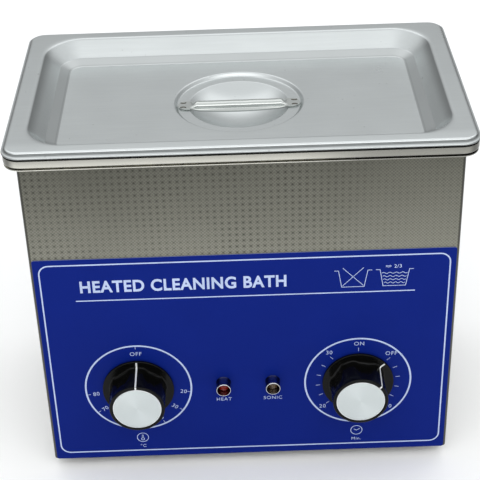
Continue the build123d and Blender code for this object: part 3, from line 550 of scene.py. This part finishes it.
LOOKS = {
    "linen_steel": linen_finish(),
    "tank_steel": tank_finish(),
    "lid_steel": lid_finish(),
    "handle_steel": satin_steel("handle_bright_steel", (0.48, 0.50, 0.485), 0.20, (0.05, 1.0, 1.0)).material,
    "panel_blue": panel_finish(),
    "seal_rubber": moulded("seal_rubber", (0.025, 0.025, 0.026), 0.6, 900.0),
    "foot_rubber": moulded("foot_rubber", (0.018, 0.018, 0.019), 0.62, 700.0, 0.00006),
    "plain_sheet": satin_steel("mill_steel_sheet", (0.56, 0.56, 0.54), 0.36, (1.0, 0.05, 1.0)).material,
    "zinc_steel": metal("zinc_plated_steel", (0.62, 0.63, 0.62), 0.28, 800.0),
    "guard_wire": metal("chromed_guard_wire", (0.70, 0.70, 0.69), 0.16, 600.0),
    "bakelite": moulded("black_bakelite", (0.0030, 0.0030, 0.0027), 0.17, 500.0, 0.00001, Specular_IOR_Level=0.15),
    "pointer_white": moulded("white_print", (0.52, 0.62, 0.88), 0.5, 1500.0, 0.00001),
    "black_oxide": metal("black_oxide_steel", (0.05, 0.05, 0.055), 0.4),
    "spindle_steel": metal("turned_steel", (0.60, 0.60, 0.59), 0.22, 900.0, (1.0, 0.1, 1.0)),
    "bezel_chrome": chrome_finish(),
    "red_lens": lens_finish("red_lens", (0.36, 0.014, 0.004), 0.35),
    "amber_lens": lens_finish("clear_amber_lens", (0.38, 0.25, 0.12), 0.75),
    "clear_glass": lens_finish("clear_glass", (0.85, 0.88, 0.86), 0.9),
    "control_plastic": moulded("grey_control_plastic", (0.30, 0.30, 0.28), 0.45),
    "copper": metal("copper", (0.72, 0.36, 0.22), 0.24),
    "cast_aluminium": metal("cast_aluminium", (0.68, 0.69, 0.70), 0.42, 350.0, (1, 1, 1), 0.00008),
    "black_aluminium": metal("black_anodised_aluminium", (0.03, 0.03, 0.032), 0.45, 400.0, (1, 1, 0.1)),
    "piezo_ceramic": moulded("piezo_ceramic", (0.22, 0.20, 0.17), 0.55),
    "mass_steel": metal("machined_steel", (0.50, 0.50, 0.49), 0.30, 700.0, (0.1, 0.1, 1.0)),
    "heater_silicone": banded("heater_silicone", (0.55, 0.16, 0.05), (0.42, 0.11, 0.035), 0.006, 0, 0.6),
    "board_green": moulded("board_green", (0.012, 0.12, 0.045), 0.35, 1600.0),
    "plain_brass": metal("brass", (0.78, 0.60, 0.30), 0.25),
    "black_plastic": moulded("black_plastic", (0.020, 0.020, 0.022), 0.42, 1300.0, 0.00005),
    "ferrite": moulded("ferrite", (0.045, 0.042, 0.042), 0.5),
    "winding": banded("enamelled_winding", (0.55, 0.26, 0.12), (0.30, 0.12, 0.05), 0.0011, 2, 0.3),
    "capacitor_sleeve": moulded("capacitor_sleeve", (0.012, 0.022, 0.06), 0.3),
    "capacitor_box": moulded("film_capacitor_box", (0.45, 0.30, 0.03), 0.4),
    "terminal_green": moulded("terminal_green", (0.03, 0.25, 0.10), 0.45),
    "lead_insulation": moulded("lead_insulation", (0.45, 0.05, 0.03), 0.5),
}


def spun_finish():
    """Lathe-turned aluminium disc: fine rings about its own axis, a painted highlight round the rim and a painted fan
    of sheen.
    """
    rim_from, rim_full, fan_turn = 0.01430, 0.01445, 1.1
    color = (0.66, 0.71, 0.70)
    f = Finish("spun_aluminium", color, 0.34, 1.0, Anisotropic=0.75)
    x, y, _ = f.parts()
    out = f.maths("SQRT", f.maths("ADD", f.times(x, x), f.times(y, y)))
    rings = f.noise(1.0, 2.0, f.node("CombineXYZ", 0, {0: f.times(out, 5200.0)}))
    f.tint(f.remap(rings, 0.3, 0.7, 0.0, 0.5), scaled(color, 0.9))
    # Painted highlight round the rim.
    f.tint(f.remap(out, rim_from, rim_full, 0.0, 0.9), (0.92, 0.94, 0.93))
    fan = f.maths("ADD", f.maths("ARCTAN2", y, x), fan_turn)
    sheen = f.maths("POWER", f.maths("ABSOLUTE", f.maths("COSINE", fan)), 6.0)
    f.tint(f.times(sheen, 0.35), (0.78, 0.83, 0.82))
    f.set("Tangent", f.node("Tangent", 0, direction_type="RADIAL", axis="Z"))
    f.bump(rings, 0.00001, 0.3)
    return f.material


LOOKS["spun_aluminium"] = spun_finish()

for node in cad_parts.values():
    for held in node.material_slots:
        held.material = LOOKS[held.material.name.split(".")[0]]


# ---- lid: one closed sheet from the dish over the recess and round the rolled hem ----
def outline(inset, z):
    """The lid's outline at a distance in from the recess's edge; outside it, the corners tighten towards the hem."""
    flat = (LID_W - RECESS_W) / 2
    share = smooth(max(0.0, -inset) / (0.4 * flat))
    radius = (1 - share) * (RECESS_R - max(inset, 0.0)) + share * (LID_R - inset - flat)
    within = inset + flat
    steeper = max(0.0, 0.4 * within if within < 4 else 1.6 * (flat - within) / (flat - 4))
    return rounded(RECESS_W - 2 * (inset - steeper), RECESS_D - 2 * inset, radius, z)


def lid_piece():
    deep = LEDGE - BOWL_LOW - SHEET
    sphere = (BOWL_R**2 + deep**2) / (2 * deep)
    bowl = []
    for i in range(1, 17):
        r = BOWL_R * 0.985 * i / 16
        bowl.append((r, LEDGE - deep + sphere - math.sqrt(sphere**2 - r * r), 0))
    dish = filleted(*bowl, (BOWL_R, LEDGE, 0.8), (DISH_R, LEDGE, 1.2), (DISH_TOP_R, LID_FLOOR, 1.4),
                    (DISH_TOP_R + 4, LID_FLOOR, 0))
    edge = (RECESS_W - LID_W) / 2
    pan = filleted((FLOOR_IN + 5, LID_FLOOR, 0), (FLOOR_IN, LID_FLOOR, 1.6), (STEEP_IN, STEEP_LOW, 2.6),
                   (0.0, LID_TOP, 3.2), (-4.5, LID_TOP, 0))
    hem = filleted((edge + 6.6, LID_TOP, 0), (edge + 3.9, LID_TOP, 1.4), (edge + 3.4, GROOVE_Z, 0.4),
                   (edge + 0.5, ROLL_Z, 0.5), (edge, LIP_Z, 0.3), (edge + 1.0, LIP_Z - 0.05, 0.2),
                   (edge + 1.4, INNER_Z, 0.2), (edge + 5.2, INNER_Z, 0.4),
                   (edge + 5.5, RIM_TOP + 0.02, 0.4), (edge + 6.7, RIM_TOP + 0.05, 0.4),
                   (edge + 7.0, LID_TOP - SHEET, 0.3), (edge + 7.4, LID_TOP - SHEET, 0))
    under_pan = offset(pan, SHEET)[::-1]
    under_dish = offset(dish, -SHEET)[::-1]
    floor_edge, dish_edge = outline(*pan[0]), circle(*dish[-1])
    low_edge, low_dish = outline(*under_pan[-1]), circle(*under_dish[0])
    rings = [[(0, 0, LEDGE - deep)]]
    rings += [circle(r, z) for r, z in dish]
    rings += [between(dish_edge, floor_edge, share) for share in (0.25, 0.5, 0.75)]
    rings += [outline(inset, z) for inset, z in pan + hem + under_pan]
    rings += [between(low_edge, low_dish, share) for share in (0.25, 0.5, 0.75)]
    rings += [circle(r, z) for r, z in under_dish]
    rings += [[(0, 0, LEDGE - deep - SHEET)]]
    return even_normals(loft("lid_sheet", rings, sharp=50))


fit_out(lid_piece(), "lid", "lid_steel", LOOKS["lid_steel"], "lid")


# ---- lid handle: a pressed strip with a raised rib and flattened, spot-welded ends ----
def handle_piece():
    tab, thick, rib_high = 5.0, 0.9, HANDLE_TOP - LEDGE - 0.2
    stations = [HANDLE_END - tab + tab * math.sin(math.pi / 2 * i / 8) for i in range(8, 0, -1)]
    stations += [31.8, 31.0, *(30.5 - 0.7 * i for i in range(11)), 21.0, 17.0, 12.5, 8.0, 4.0]
    stations = [-x for x in stations] + [0.0] + stations[::-1]
    arch = [(math.cos(math.pi * i / 12), math.sin(math.pi * i / 12) ** 0.85) for i in range(13)]
    rings = []
    for x in stations:
        reach = abs(x)
        bar, bow = 1 - smooth((reach - 23.5) / 6.5), max(0.0, 1 - (reach / 30) ** 2)
        rise = rib_high * (1 - smooth((reach - 25.0) / 4.5))
        level = LEDGE + 1.0 - 0.8 * bar
        end = math.sqrt(max(0.0004, 1 - (max(0.0, reach - HANDLE_END + tab) / tab) ** 2))
        back, front, droop = tab - 0.6 * bar, -tab - 0.9 * bow + 0.3 * bar, -1.2 * bow
        dent = 0.10 * math.sin(0.83 * x + 1.0) * math.sin(0.31 * x) * bar
        top = [(back, 0), (4.0, 0), *((3.45 * c + 0.15, rise * s + dent * s) for c, s in arch), (-4.1, 0.15 * droop),
               (front, droop)]
        under = [(back, -thick), (3.8, -thick), *((2.6 * c + 0.15, rise * s - thick) for c, s in arch),
                 (-3.9, 0.15 * droop - thick), (front + 0.3, droop - thick)]
        rings.append([(x, HANDLE_Y + y * end, level + z) for y, z in top + under[::-1]])
    first, last = rings[0], rings[-1]
    rings = [[tuple(sum(c) / len(first) for c in zip(*first))], *rings, [tuple(sum(c) / len(last) for c in zip(*last))]]
    piece = loft("lid_handle_strip", rings, sharp=40)
    bevel = piece.modifiers.new("edge", "BEVEL")
    bevel.width, bevel.segments, bevel.limit_method, bevel.angle_limit = 0.0002, 2, "ANGLE", math.radians(50)
    return even_normals(piece)


fit_out(handle_piece(), "lid", "handle_steel", LOOKS["handle_steel"], "lid_handle")

welds = []
for side in (-1, 1):
    for y, bend in ((2.7, 1), (-2.7, -1)):
        arc = [(-1.7, 0.5), (-1.1, -0.05), (-0.3, -0.35), (0.5, -0.3), (1.2, 0.1), (1.5, 0.75)]
        path = [(side * 33.7 + u, HANDLE_Y + y + bend * v * 0.7, LEDGE + 1.0) for u, v in arc]
        welds.append(tube("weld", path, 0.32))
fit_out(joined("handle_weld_marks", welds, 60), "lid", "handle_steel", metal("weld_scale", (0.10, 0.09, 0.075), 0.5))


# ---- tank: rim with a beaded skirt, rounded mouth, walls and floor, in one closed sheet ----
TANK_W, TANK_D, TANK_R, TANK_T, TANK_FLOOR = 240.0, 135.0, 25.0, 1.0, RIM_TOP - 100.0
RIM_R, SKIRT_LOW = 11.0, RIM_TOP - 6.4


def tank_piece():
    wall_in = (RIM_W - TANK_W) / 2

    def ring(inset, z):
        """The rim's outline, which turns into the tank's as it goes in; the two differ in depth by 2 mm."""
        share = smooth((inset - 2) / (wall_in - 5))
        width = RIM_W - 2 * inset
        depth = RIM_D - 2 * inset - share * (RIM_D - TANK_D - RIM_W + TANK_W)
        radius = (RIM_R - inset) * (1 - share) + share * max(2.0, TANK_R + wall_in - inset)
        return rounded(width, depth, radius, z)

    inner = filleted((3.8, SKIRT_LOW + 1.25, 0), (3.8, SKIRT_LOW + 2.05, 0.2), (0.25, SKIRT_LOW + 2.15, 0.2),
                     (0.0, SKIRT_LOW + 2.7, 0.5), (0.0, RIM_TOP, 0.25), (wall_in, RIM_TOP, 3.0),
                     (wall_in, TANK_FLOOR, 8.0), (wall_in + 22, TANK_FLOOR, 0))
    bead = filleted((4.5, SKIRT_LOW + 1.3, 0), (4.4, SKIRT_LOW + 0.1, 0.3), (0.3, SKIRT_LOW + 0.1, 0.3),
                    (0.3, SKIRT_LOW + 0.75, 0.3), (3.8, SKIRT_LOW + 0.9, 0.15), (3.8, SKIRT_LOW + 1.25, 0))
    outer = filleted((wall_in + 22, TANK_FLOOR - TANK_T, 0), (wall_in - TANK_T, TANK_FLOOR - TANK_T, 9.0),
                     (wall_in - TANK_T, RIM_TOP - SHEET, 2.2), (0.8, RIM_TOP - SHEET, 0.5),
                     (0.8, SKIRT_LOW + 3.0, 0.3), (4.5, SKIRT_LOW + 2.6, 0.3), (4.5, SKIRT_LOW + 1.3, 0))
    rings = [ring(*p) for p in bead[:-1] + inner]
    floor = ring(*inner[-1])
    rings += [between(floor, [(0, 0, TANK_FLOOR)] * AROUND, share) for share in (0.3, 0.6, 0.9)]
    rings += [[(0, 0, TANK_FLOOR)]]
    under = [[(0, 0, TANK_FLOOR - TANK_T)]]
    low = ring(*outer[0])
    under += [between([(0, 0, TANK_FLOOR - TANK_T)] * AROUND, low, share) for share in (0.1, 0.4, 0.7)]
    under += [ring(*p) for p in outer]
    return even_normals(loft("tank_sheet", under + rings, sharp=50))


fit_out(tank_piece(), "unit", "tank_steel", LOOKS["tank_steel"], "tank")


# ---- knobs: skirted, with five broad flutes that fade towards the cap ----
GAP, SKIRT_R, SKIRT_FACE, KNOB_H = 0.6, 22.2, 2.3, 20.52
BASE_R, TOP_R, CAP_R, FLUTES, FLUTE_DEEP = 17.6, 17.0, 14.84, 5, 2.0
GRIP_LOW = 4.0                                # height over the panel where the tapered grip starts
KNOB_FOOT = [(BASE_R + 0.8, SKIRT_FACE + 0.06), (BASE_R + 0.45, SKIRT_FACE + 0.24), (BASE_R + 0.2, SKIRT_FACE + 0.55),
             (BASE_R + 0.04, SKIRT_FACE + 1.1)]


def crest(height):
    """Radius of the grip's crests at a height over the panel."""
    return BASE_R + (TOP_R - BASE_R) * (height - GRIP_LOW) / (KNOB_H - GRIP_LOW)


def knob_profile():
    """(radius, height, share of the flutes' depth) from the back of the skirt to the cap's seat."""
    made = [(r, h, 0) for r, h in filleted((7.5, GAP, 0), (SKIRT_R, GAP, 0.4), (SKIRT_R, SKIRT_FACE, 0.5),
                                          (BASE_R + 1.1, SKIRT_FACE, 0))]
    made += [(r, h, 0.6 + 0.1 * i) for i, (r, h) in enumerate(KNOB_FOOT)]
    rise = [4.6 + 1.15 * i for i in range(13)]
    made += [(crest(h), h, 1 - 0.96 * (h - 4.6) / 15.0) for h in rise]
    made += [(r, h, 0) for r, h in filleted((TOP_R + 0.02, KNOB_H - 1.3, 0), (TOP_R, KNOB_H, 0.7),
                                            (CAP_R + 0.25, KNOB_H, 0.25), (CAP_R + 0.12, KNOB_H - 0.9, 0),
                                            (4.0, KNOB_H - 0.9, 0))]
    return made


def knob_piece(name, x, z, turn):
    count = 160
    rings = [[(0, 0, 12.0)], circle(3.4, 12.0, count), circle(3.4, 2.0, count), circle(7.5, 2.0, count)]
    for radius, height, share in knob_profile():
        ring = []
        for i in range(count):
            t = 2 * math.pi * i / count
            valley = smooth((1 - math.cos(FLUTES * (t - math.pi / 2))) / 1.5 - 0.25)
            r = radius - FLUTE_DEEP * share * valley
            ring.append((r * math.cos(t), r * math.sin(t), height))
        rings.append(ring)
    rings.append([(0, 0, KNOB_H - 0.9)])
    piece = loft(f"{name}_knob_grip", rings, sharp=50, place=facing_front(x, z, turn))
    return even_normals(piece)


def pointer_piece(name, x, z, turn):
    """A painted line laid on the crest from the cap's edge to the skirt's edge."""
    path = [(CAP_R + 0.3, KNOB_H), (TOP_R - 0.6, KNOB_H), (TOP_R - 0.18, KNOB_H - 0.25), (TOP_R, KNOB_H - 0.9)]
    path += [(crest(h), h) for h in (17.0, 13.0, 9.0, 5.5)]
    path += [*KNOB_FOOT[::-1], (BASE_R + 1.1, SKIRT_FACE), (SKIRT_R - 0.6, SKIRT_FACE)]
    top, low = offset(path, 0.07), offset(path, -0.25)
    rings = [[(-0.5, a[0], a[1]), (0.5, a[0], a[1]), (0.5, b[0], b[1]), (-0.5, b[0], b[1])] for a, b in zip(top, low)]
    ends = [tuple(sum(c) / 4 for c in zip(*rings[i])) for i in (0, -1)]
    return loft(f"{name}_pointer_line", [[ends[0]], *rings, [ends[1]]], sharp=40, place=facing_front(x, z, turn))


def turned_piece(name, profile, place, count=96, sharp=40.0):
    """A turned piece: (radius, height) points, closed on the axis at both ends."""
    rings = [[(0, 0, profile[0][1])]] + [circle(r, h, count) for r, h in profile] + [[(0, 0, profile[-1][1])]]
    return even_normals(loft(name, rings, sharp=sharp, place=place))


def cap_piece(name, x, z):
    """The cap's own origin is on the knob's axis, because its grain turns round it."""
    face = KNOB_H - 0.12
    profile = filleted((0.5, face - 0.7, 0), (CAP_R, face - 0.7, 0), (CAP_R, face + 0.02, 0.18),
                       (CAP_R - 0.55, face + 0.02, 0.18), (CAP_R - 0.75, face - 0.1, 0.1), (0.5, face - 0.1, 0))
    piece = turned_piece(f"{name}_cap_disc", profile, lambda p: Vector(p) * MM, 128)
    piece.matrix_world = Matrix.Translation(to_frame((x, PANEL_Y, z))) @ Matrix.Rotation(math.pi / 2, 4, "X")
    return piece


pointer_paint = moulded("pointer_paint", (0.82, 0.83, 0.82), 0.35, 900.0, 0.00001)
for name, (x, z) in DIALS.items():
    body, turn = f"{name}_knob", KNOB_TURN[name]
    fit_out(knob_piece(name, x, z, turn), body, "bakelite", LOOKS["bakelite"], f"{name}_knob")
    fit_out(pointer_piece(name, x, z, turn), body, "pointer_white", pointer_paint, f"{name}_pointer")
    fit_out(cap_piece(name, x, z), body, "spun_aluminium", LOOKS["spun_aluminium"], f"{name}_knob_cap")


# ---- lamps: chromed tubes with a sunken, faceted lens ----
bezels = []
bezel = filleted((3.3, -1.0, 0), (4.5, -1.0, 0), (4.5, 0.05, 0), (4.75, 0.3, 0.2), (4.6, 0.7, 0.2), (4.42, 1.2, 0),
                 (4.42, 6.6, 0.3), (4.62, 7.0, 0.2), (4.6, 8.0, 0.4), (4.1, 8.0, 0.1), (3.9, 7.0, 0.2), (3.5, 4.2, 0),
                 (3.3, 3.4, 0))
for name, (x, z) in LAMPS.items():
    count, place = 72, facing_front(x, z)
    rings = [circle(r, h, count) for r, h in bezel]
    bezels.append(loft("bezel", rings + [rings[0]], sharp=45, place=place))
    lens = [(3.4, 2.6), (3.4, 3.5)]
    lens += [(3.35 * math.cos(a), 3.6 + 1.5 * math.sin(a)) for a in (math.pi / 2 * i / 7 for i in range(7))]
    rings = [[(0, 0, 2.6)]]
    for r, h in lens:
        facet = 0.09 * (h > 3.7)
        ring = []
        for i in range(48):
            t, reach = 2 * math.pi * i / 48, r + facet * (i % 2)
            ring.append((reach * math.cos(t), reach * math.sin(t), h))
        rings.append(ring)
    rings.append([(0, 0, 5.1)])
    slot = "red_lens" if name == "heat" else "amber_lens"
    fit_out(loft(f"{name}_lens_dome", rings, sharp=60, place=place), "unit", slot, LOOKS[slot], f"{name}_lamp_lens")
    back = turned_piece(f"{name}_lamp_reflector", [(3.3, 2.0), (3.3, 2.6), (0.6, 2.4)], place, 48)
    fit_out(back, "unit", "black_plastic", moulded(f"{name}_lamp_back", (0.05, 0.03, 0.02), 0.3))
fit_out(joined("lamp_tubes", bezels, 45), "unit", "bezel_chrome", LOOKS["bezel_chrome"], "lamp_bezels")


# ---- printing on the panel: every mark is a closed piece of ink just proud of the film ----
INK = 0.05
ink = bmesh.new()
on_panel = facing_front(0, 0)


def ribbon(points, width, closed=False):
    """A printed line of even width through (x, z) points."""
    pts = [Vector(p) for p in points]
    count, left, right = len(pts), [], []
    for i, point in enumerate(pts):
        before = pts[i - 1] if closed or i else None
        after = pts[(i + 1) % count] if closed or i < count - 1 else None
        a = (point - before).normalized() if before else (after - point).normalized()
        b = (after - point).normalized() if after else a
        normal = Vector((-(a + b).y, (a + b).x)).normalized()
        reach = width / 2 / max(0.4, normal.dot(Vector((-a.y, a.x))))
        left.append(point + normal * reach)
        right.append(point - normal * reach)
    rings = []
    for l, r in zip(left, right):
        rings.append([ink.verts.new(on_panel((p.x, p.y, h))) for p, h in ((l, INK), (r, INK), (r, -0.02), (l, -0.02))])
    pairs = list(zip(rings, rings[1:])) + ([(rings[-1], rings[0])] if closed else [])
    for a, b in pairs:
        for k in range(4):
            ink.faces.new((a[k], a[(k + 1) % 4], b[(k + 1) % 4], b[k]))
    if not closed:
        ink.faces.new(rings[0])
        ink.faces.new(rings[-1][::-1])


def around(x, z, radius, width, start=0.0, end=360.0, count=120):
    """A printed circle or arc; angles run clockwise from the top."""
    closed = end - start >= 360
    steps = count if closed else count + 1
    ribbon([(x + radius * math.sin(t), z + radius * math.cos(t))
            for t in (math.radians(start + (end - start) * i / count) for i in range(steps))], width, closed)


def lettering(text, x, z, height, width=None, weight=0.0, turn=0.0, spacing=1.0, align="CENTER"):
    """Text with its capitals that high, centred at (x, z), turned clockwise."""
    curve = bpy.data.curves.new("lettering", "FONT")
    curve.body, curve.size, curve.offset, curve.extrude = text, 1.0, weight, 0.1
    curve.resolution_u, curve.space_character = 4, spacing
    holder = bpy.data.objects.new("lettering", curve)
    bpy.context.scene.collection.objects.link(holder)
    bpy.context.view_layer.update()
    mesh = bpy.data.meshes.new_from_object(holder.evaluated_get(bpy.context.evaluated_depsgraph_get()))
    bpy.data.objects.remove(holder)
    cap_height = 0.729                        # of the built-in font at size 1
    xs = [v.co.x for v in mesh.vertices]
    scale = height / cap_height
    stretch = width / (max(xs) - min(xs)) if width else scale
    mid = (max(xs) + min(xs)) / 2 if align == "CENTER" else min(xs)
    place = facing_front(x, z, turn)
    for v in mesh.vertices:
        v.co = place(((v.co.x - mid) * stretch, (v.co.y - cap_height / 2) * scale, INK if v.co.z > 0 else -0.02))
    ink.from_mesh(mesh)


def on_dial(name, clock, radius):
    x, z = DIALS[name]
    return x + radius * math.sin(math.radians(clock)), z + radius * math.cos(math.radians(clock))


FRAME_X, FRAME_LOW, FRAME_HIGH, FRAME_R = 121.2, 13.2, 158.0, 6.0
corner_points = []
for cx, cz, start in ((1, 1, 0), (1, -1, 90), (-1, -1, 180), (-1, 1, 270)):
    for i in range(9):
        t = math.radians(start + 90 * i / 8)
        corner_points.append((cx * (FRAME_X - FRAME_R) + FRAME_R * math.sin(t),
                              (FRAME_HIGH - FRAME_R if cz > 0 else FRAME_LOW + FRAME_R) + FRAME_R * math.cos(t)))
ribbon(corner_points, 0.85, closed=True)
HEADING_X, HEADING_Z, HEADING_HIGH, HEADING_WIDE, HEADING_WEIGHT = -98.0, 142.5, 8.3, 122.5, 0.028
lettering("HEATED CLEANING BATH", HEADING_X, HEADING_Z, HEADING_HIGH, HEADING_WIDE, HEADING_WEIGHT,
          spacing=1.08, align="LEFT")
RULE_LEFT, RULE_RIGHT, RULE_Z = -101.2, 101.1, 132.3
ribbon([(RULE_LEFT, RULE_Z), (RULE_RIGHT, RULE_Z)], 0.7)


EMPTY_X, FULL_X, BASIN_TOP, BASIN_LOW = 64.0, 88.6, 147.9, 136.2
FLANGE_X, MOUTH_X, BASE_X = 11.2, 8.7, 6.7    # half widths of the little tank, flange to floor


def basin(x):
    """A little tank outline with a flange each side."""
    left = [(-FLANGE_X, BASIN_TOP), (-MOUTH_X, BASIN_TOP), (-BASE_X, BASIN_LOW)]
    ribbon([(x + u, v) for u, v in left + [(-u, v) for u, v in left[::-1]]], 0.36)


basin(EMPTY_X)
for side in (-1, 1):
    ribbon([(EMPTY_X - 6.2 * side, 137.0), (EMPTY_X + 6.2 * side, 149.8)], 0.34)
basin(FULL_X)
for z, half in ((145.4, 7.6), (143.0, 7.1), (140.7, 6.7), (138.4, 6.2)):
    ribbon([(FULL_X + half * (i / 12 - 1), z + 0.45 * math.sin(i * math.pi / 3.0)) for i in range(25)], 0.32)
lettering("2/3", FULL_X + 1.8, 150.2, 2.5, spacing=1.1, weight=0.004)
for z in (149.7, 150.5):
    ribbon([(FULL_X - 5.4 + 0.27 * i, z + 0.22 * math.sin(i * math.pi / 4)) for i in range(13)], 0.3)

RING_R, RING_LINE, TICK = 32.9, 1.05, 0.28
DIAL_TEXT, DIAL_WEIGHT, DIAL_SPACING = 2.9, -0.002, 1.12
for name, (x, z) in DIALS.items():
    around(x, z, RING_R, RING_LINE, count=144)
heat_marks = [(0, "OFF")] + [(97.5 + 27.5 * i, str(20 + 10 * i)) for i in range(7)]
for clock, text in heat_marks:
    ribbon([on_dial("heat", clock, 30.4), on_dial("heat", clock, 32.4)], TICK)
    turn = 0 if text == "OFF" else clock - 90 if clock < 180 else clock - 270
    radius = 28.2 if text == "20" else 26.9
    lettering(text, *on_dial("heat", clock, radius), DIAL_TEXT, weight=DIAL_WEIGHT, turn=turn, spacing=DIAL_SPACING)
for i in range(16):
    clock = 48.5 + 18 * i
    ribbon([on_dial("timer", clock, 23.6), on_dial("timer", clock, 26.3)], TICK)
ribbon([on_dial("timer", 0, 23.4), on_dial("timer", 0, 26.0)], TICK)
for clock, text in ((0.5, "ON"), (44.0, "OFF"), (136.5, "10"), (228.5, "20"), (322.0, "30")):
    lettering(text, *on_dial("timer", clock, 29.2), DIAL_TEXT, weight=DIAL_WEIGHT, spacing=DIAL_SPACING)

for name, icon_z, label in (("heat", 23.9, "°C"), ("timer", 24.1, "Min.")):
    x = DIALS[name][0]
    around(x, icon_z, 3.6, 0.4, count=48)
    lettering(label, x, icon_z - 6.9, 2.4, weight=-0.002, spacing=1.15)
heat_x, timer_x = DIALS["heat"][0], DIALS["timer"][0]
around(heat_x, 22.6, 0.95, 0.4, 20, 340, 20)
ribbon([(heat_x - 0.35, 23.4), (heat_x - 0.35, 25.9), (heat_x + 0.35, 25.9), (heat_x + 0.35, 23.4)], 0.3)
ribbon([(timer_x - 1.6, 25.0), (timer_x, 23.9), (timer_x + 2.1, 25.4)], 0.4)
LAMP_TEXT_Z = 53.4
for name, label in (("heat", "HEAT"), ("sonic", "SONIC")):
    lettering(label, LAMPS[name][0], LAMP_TEXT_Z, 2.6, weight=-0.006, spacing=1.15)

bmesh.ops.remove_doubles(ink, verts=ink.verts, dist=2e-6)
bmesh.ops.recalc_face_normals(ink, faces=ink.faces)
ink_mesh = bpy.data.meshes.new("panel_print")
ink.to_mesh(ink_mesh)
ink.free()
panel_print = bpy.data.objects.new("panel_print", ink_mesh)
bpy.context.scene.collection.objects.link(panel_print)
fit_out(panel_print, "unit", "pointer_white", LOOKS["pointer_white"])


# ---- fan guard: chromed wire rings on crossed wires with eyes at the screws ----
def guard_piece():
    low, high = span("fan_guard")
    x, z, y = (low.x + high.x) / 2, (low.z + high.z) / 2, low.y - AXIS_Y
    wires = []
    for radius in (27.0, 20.5, 14.0, 7.5):
        wires.append(tube("wire", [(x + px, y + 0.72, z + pz) for px, pz, _ in circle(radius, 0, 72)], 0.7, True))
    for turn in (45, 135, 225, 315):
        c, s = math.cos(math.radians(turn)), math.sin(math.radians(turn))
        reach = 25 * math.sqrt(2)
        eye = [(x + reach * c + 2.7 * math.cos(t), y + 0.72, z + reach * s + 2.7 * math.sin(t))
               for t in (2 * math.pi * i / 24 for i in range(24))]
        wires.append(tube("wire", eye, 0.7, True))
        wires.append(tube("wire", [(x + r * c, y + 0.72, z + r * s) for r in (6.5, 14, 22, reach - 3)], 0.68))
    return joined("fan_guard_wires", wires, 60)


fit_out(guard_piece(), "unit", "guard_wire", LOOKS["guard_wire"], "fan_guard")


# ---- floor, light and camera ----
def floor_finish():
    f = Finish("pale_floor", (0.98, 0.98, 0.98), 0.8, 0.0, Specular_IOR_Level=0.2)
    f.tint(f.remap(f.noise(3.0, 3.0), 0.4, 0.7, 0.0, 0.5), (0.96, 0.96, 0.96))
    f.bump(f.noise(400.0, 2.0), 0.0001, 0.2)
    return f.material


HALF = 6.0
floor = mesh_object("floor", [(-HALF, -HALF, 0), (HALF, -HALF, 0), (HALF, HALF, 0), (-HALF, HALF, 0)], [(0, 1, 2, 3)])
floor.data.materials.append(floor_finish())


def softbox(name, position, size, power):
    """A soft rectangular light that faces the middle of the object."""
    light = bpy.data.lights.new(name, "AREA")
    light.shape, light.size, light.size_y = "RECTANGLE", *size
    light.energy = power
    holder = bpy.data.objects.new(name, light)
    holder.location = position
    holder.rotation_euler = (Vector((0, 0, 0.12)) - Vector(position)).to_track_quat("-Z", "Y").to_euler()
    bpy.context.scene.collection.objects.link(holder)


softbox("front_high", (0.0, -1.15, 1.5), (3.0, 0.9), 12.0)
softbox("top_back", (0.0, 0.9, 1.75), (2.6, 1.0), 5.0)

world = bpy.data.worlds.new("studio")
bpy.context.scene.world = world
world.use_nodes = True
sky = world.node_tree
direction = sky.nodes.new("ShaderNodeTexCoord")
split = sky.nodes.new("ShaderNodeSeparateXYZ")
rise = sky.nodes.new("ShaderNodeMapRange")
rise.interpolation_type = "SMOOTHSTEP"
sky.links.new(direction.outputs["Generated"], split.inputs[0])
sky.links.new(split.outputs[2], rise.inputs["Value"])
for socket, value in (("From Min", 0.05), ("From Max", 0.85), ("To Min", 0.34), ("To Max", 1.12)):
    rise.inputs[socket].default_value = value
sky.nodes["Background"].inputs["Color"].default_value = (0.975, 0.99, 1.0, 1.0)
sky.links.new(rise.outputs[0], sky.nodes["Background"].inputs["Strength"])

CAMERA_AT = to_frame((-3.81, -725.09, 594.18))
LENS, SENSOR = 100.17, 36.0
DOWN, HEADING, ROLL = (math.radians(a) for a in (33.01, 0.14, 1.84))
forward = Vector((math.sin(HEADING) * math.cos(DOWN), math.cos(HEADING) * math.cos(DOWN), -math.sin(DOWN)))
right = Vector((math.cos(HEADING), -math.sin(HEADING), 0))
down = forward.cross(right)
right, down = math.cos(ROLL) * right + math.sin(ROLL) * down, math.cos(ROLL) * down - math.sin(ROLL) * right
camera_data = bpy.data.cameras.new("camera")
camera_data.sensor_width = SENSOR
camera_data.lens = LENS
camera_data.clip_start = 0.01
camera = bpy.data.objects.new("camera", camera_data)
camera.matrix_world = Matrix.Translation(CAMERA_AT) @ Matrix((right, -down, -forward)).transposed().to_4x4()
bpy.context.scene.collection.objects.link(camera)
bpy.context.scene.camera = camera

bpy.context.scene.view_settings.view_transform = "Standard"
bpy.context.scene.view_settings.look = "None"
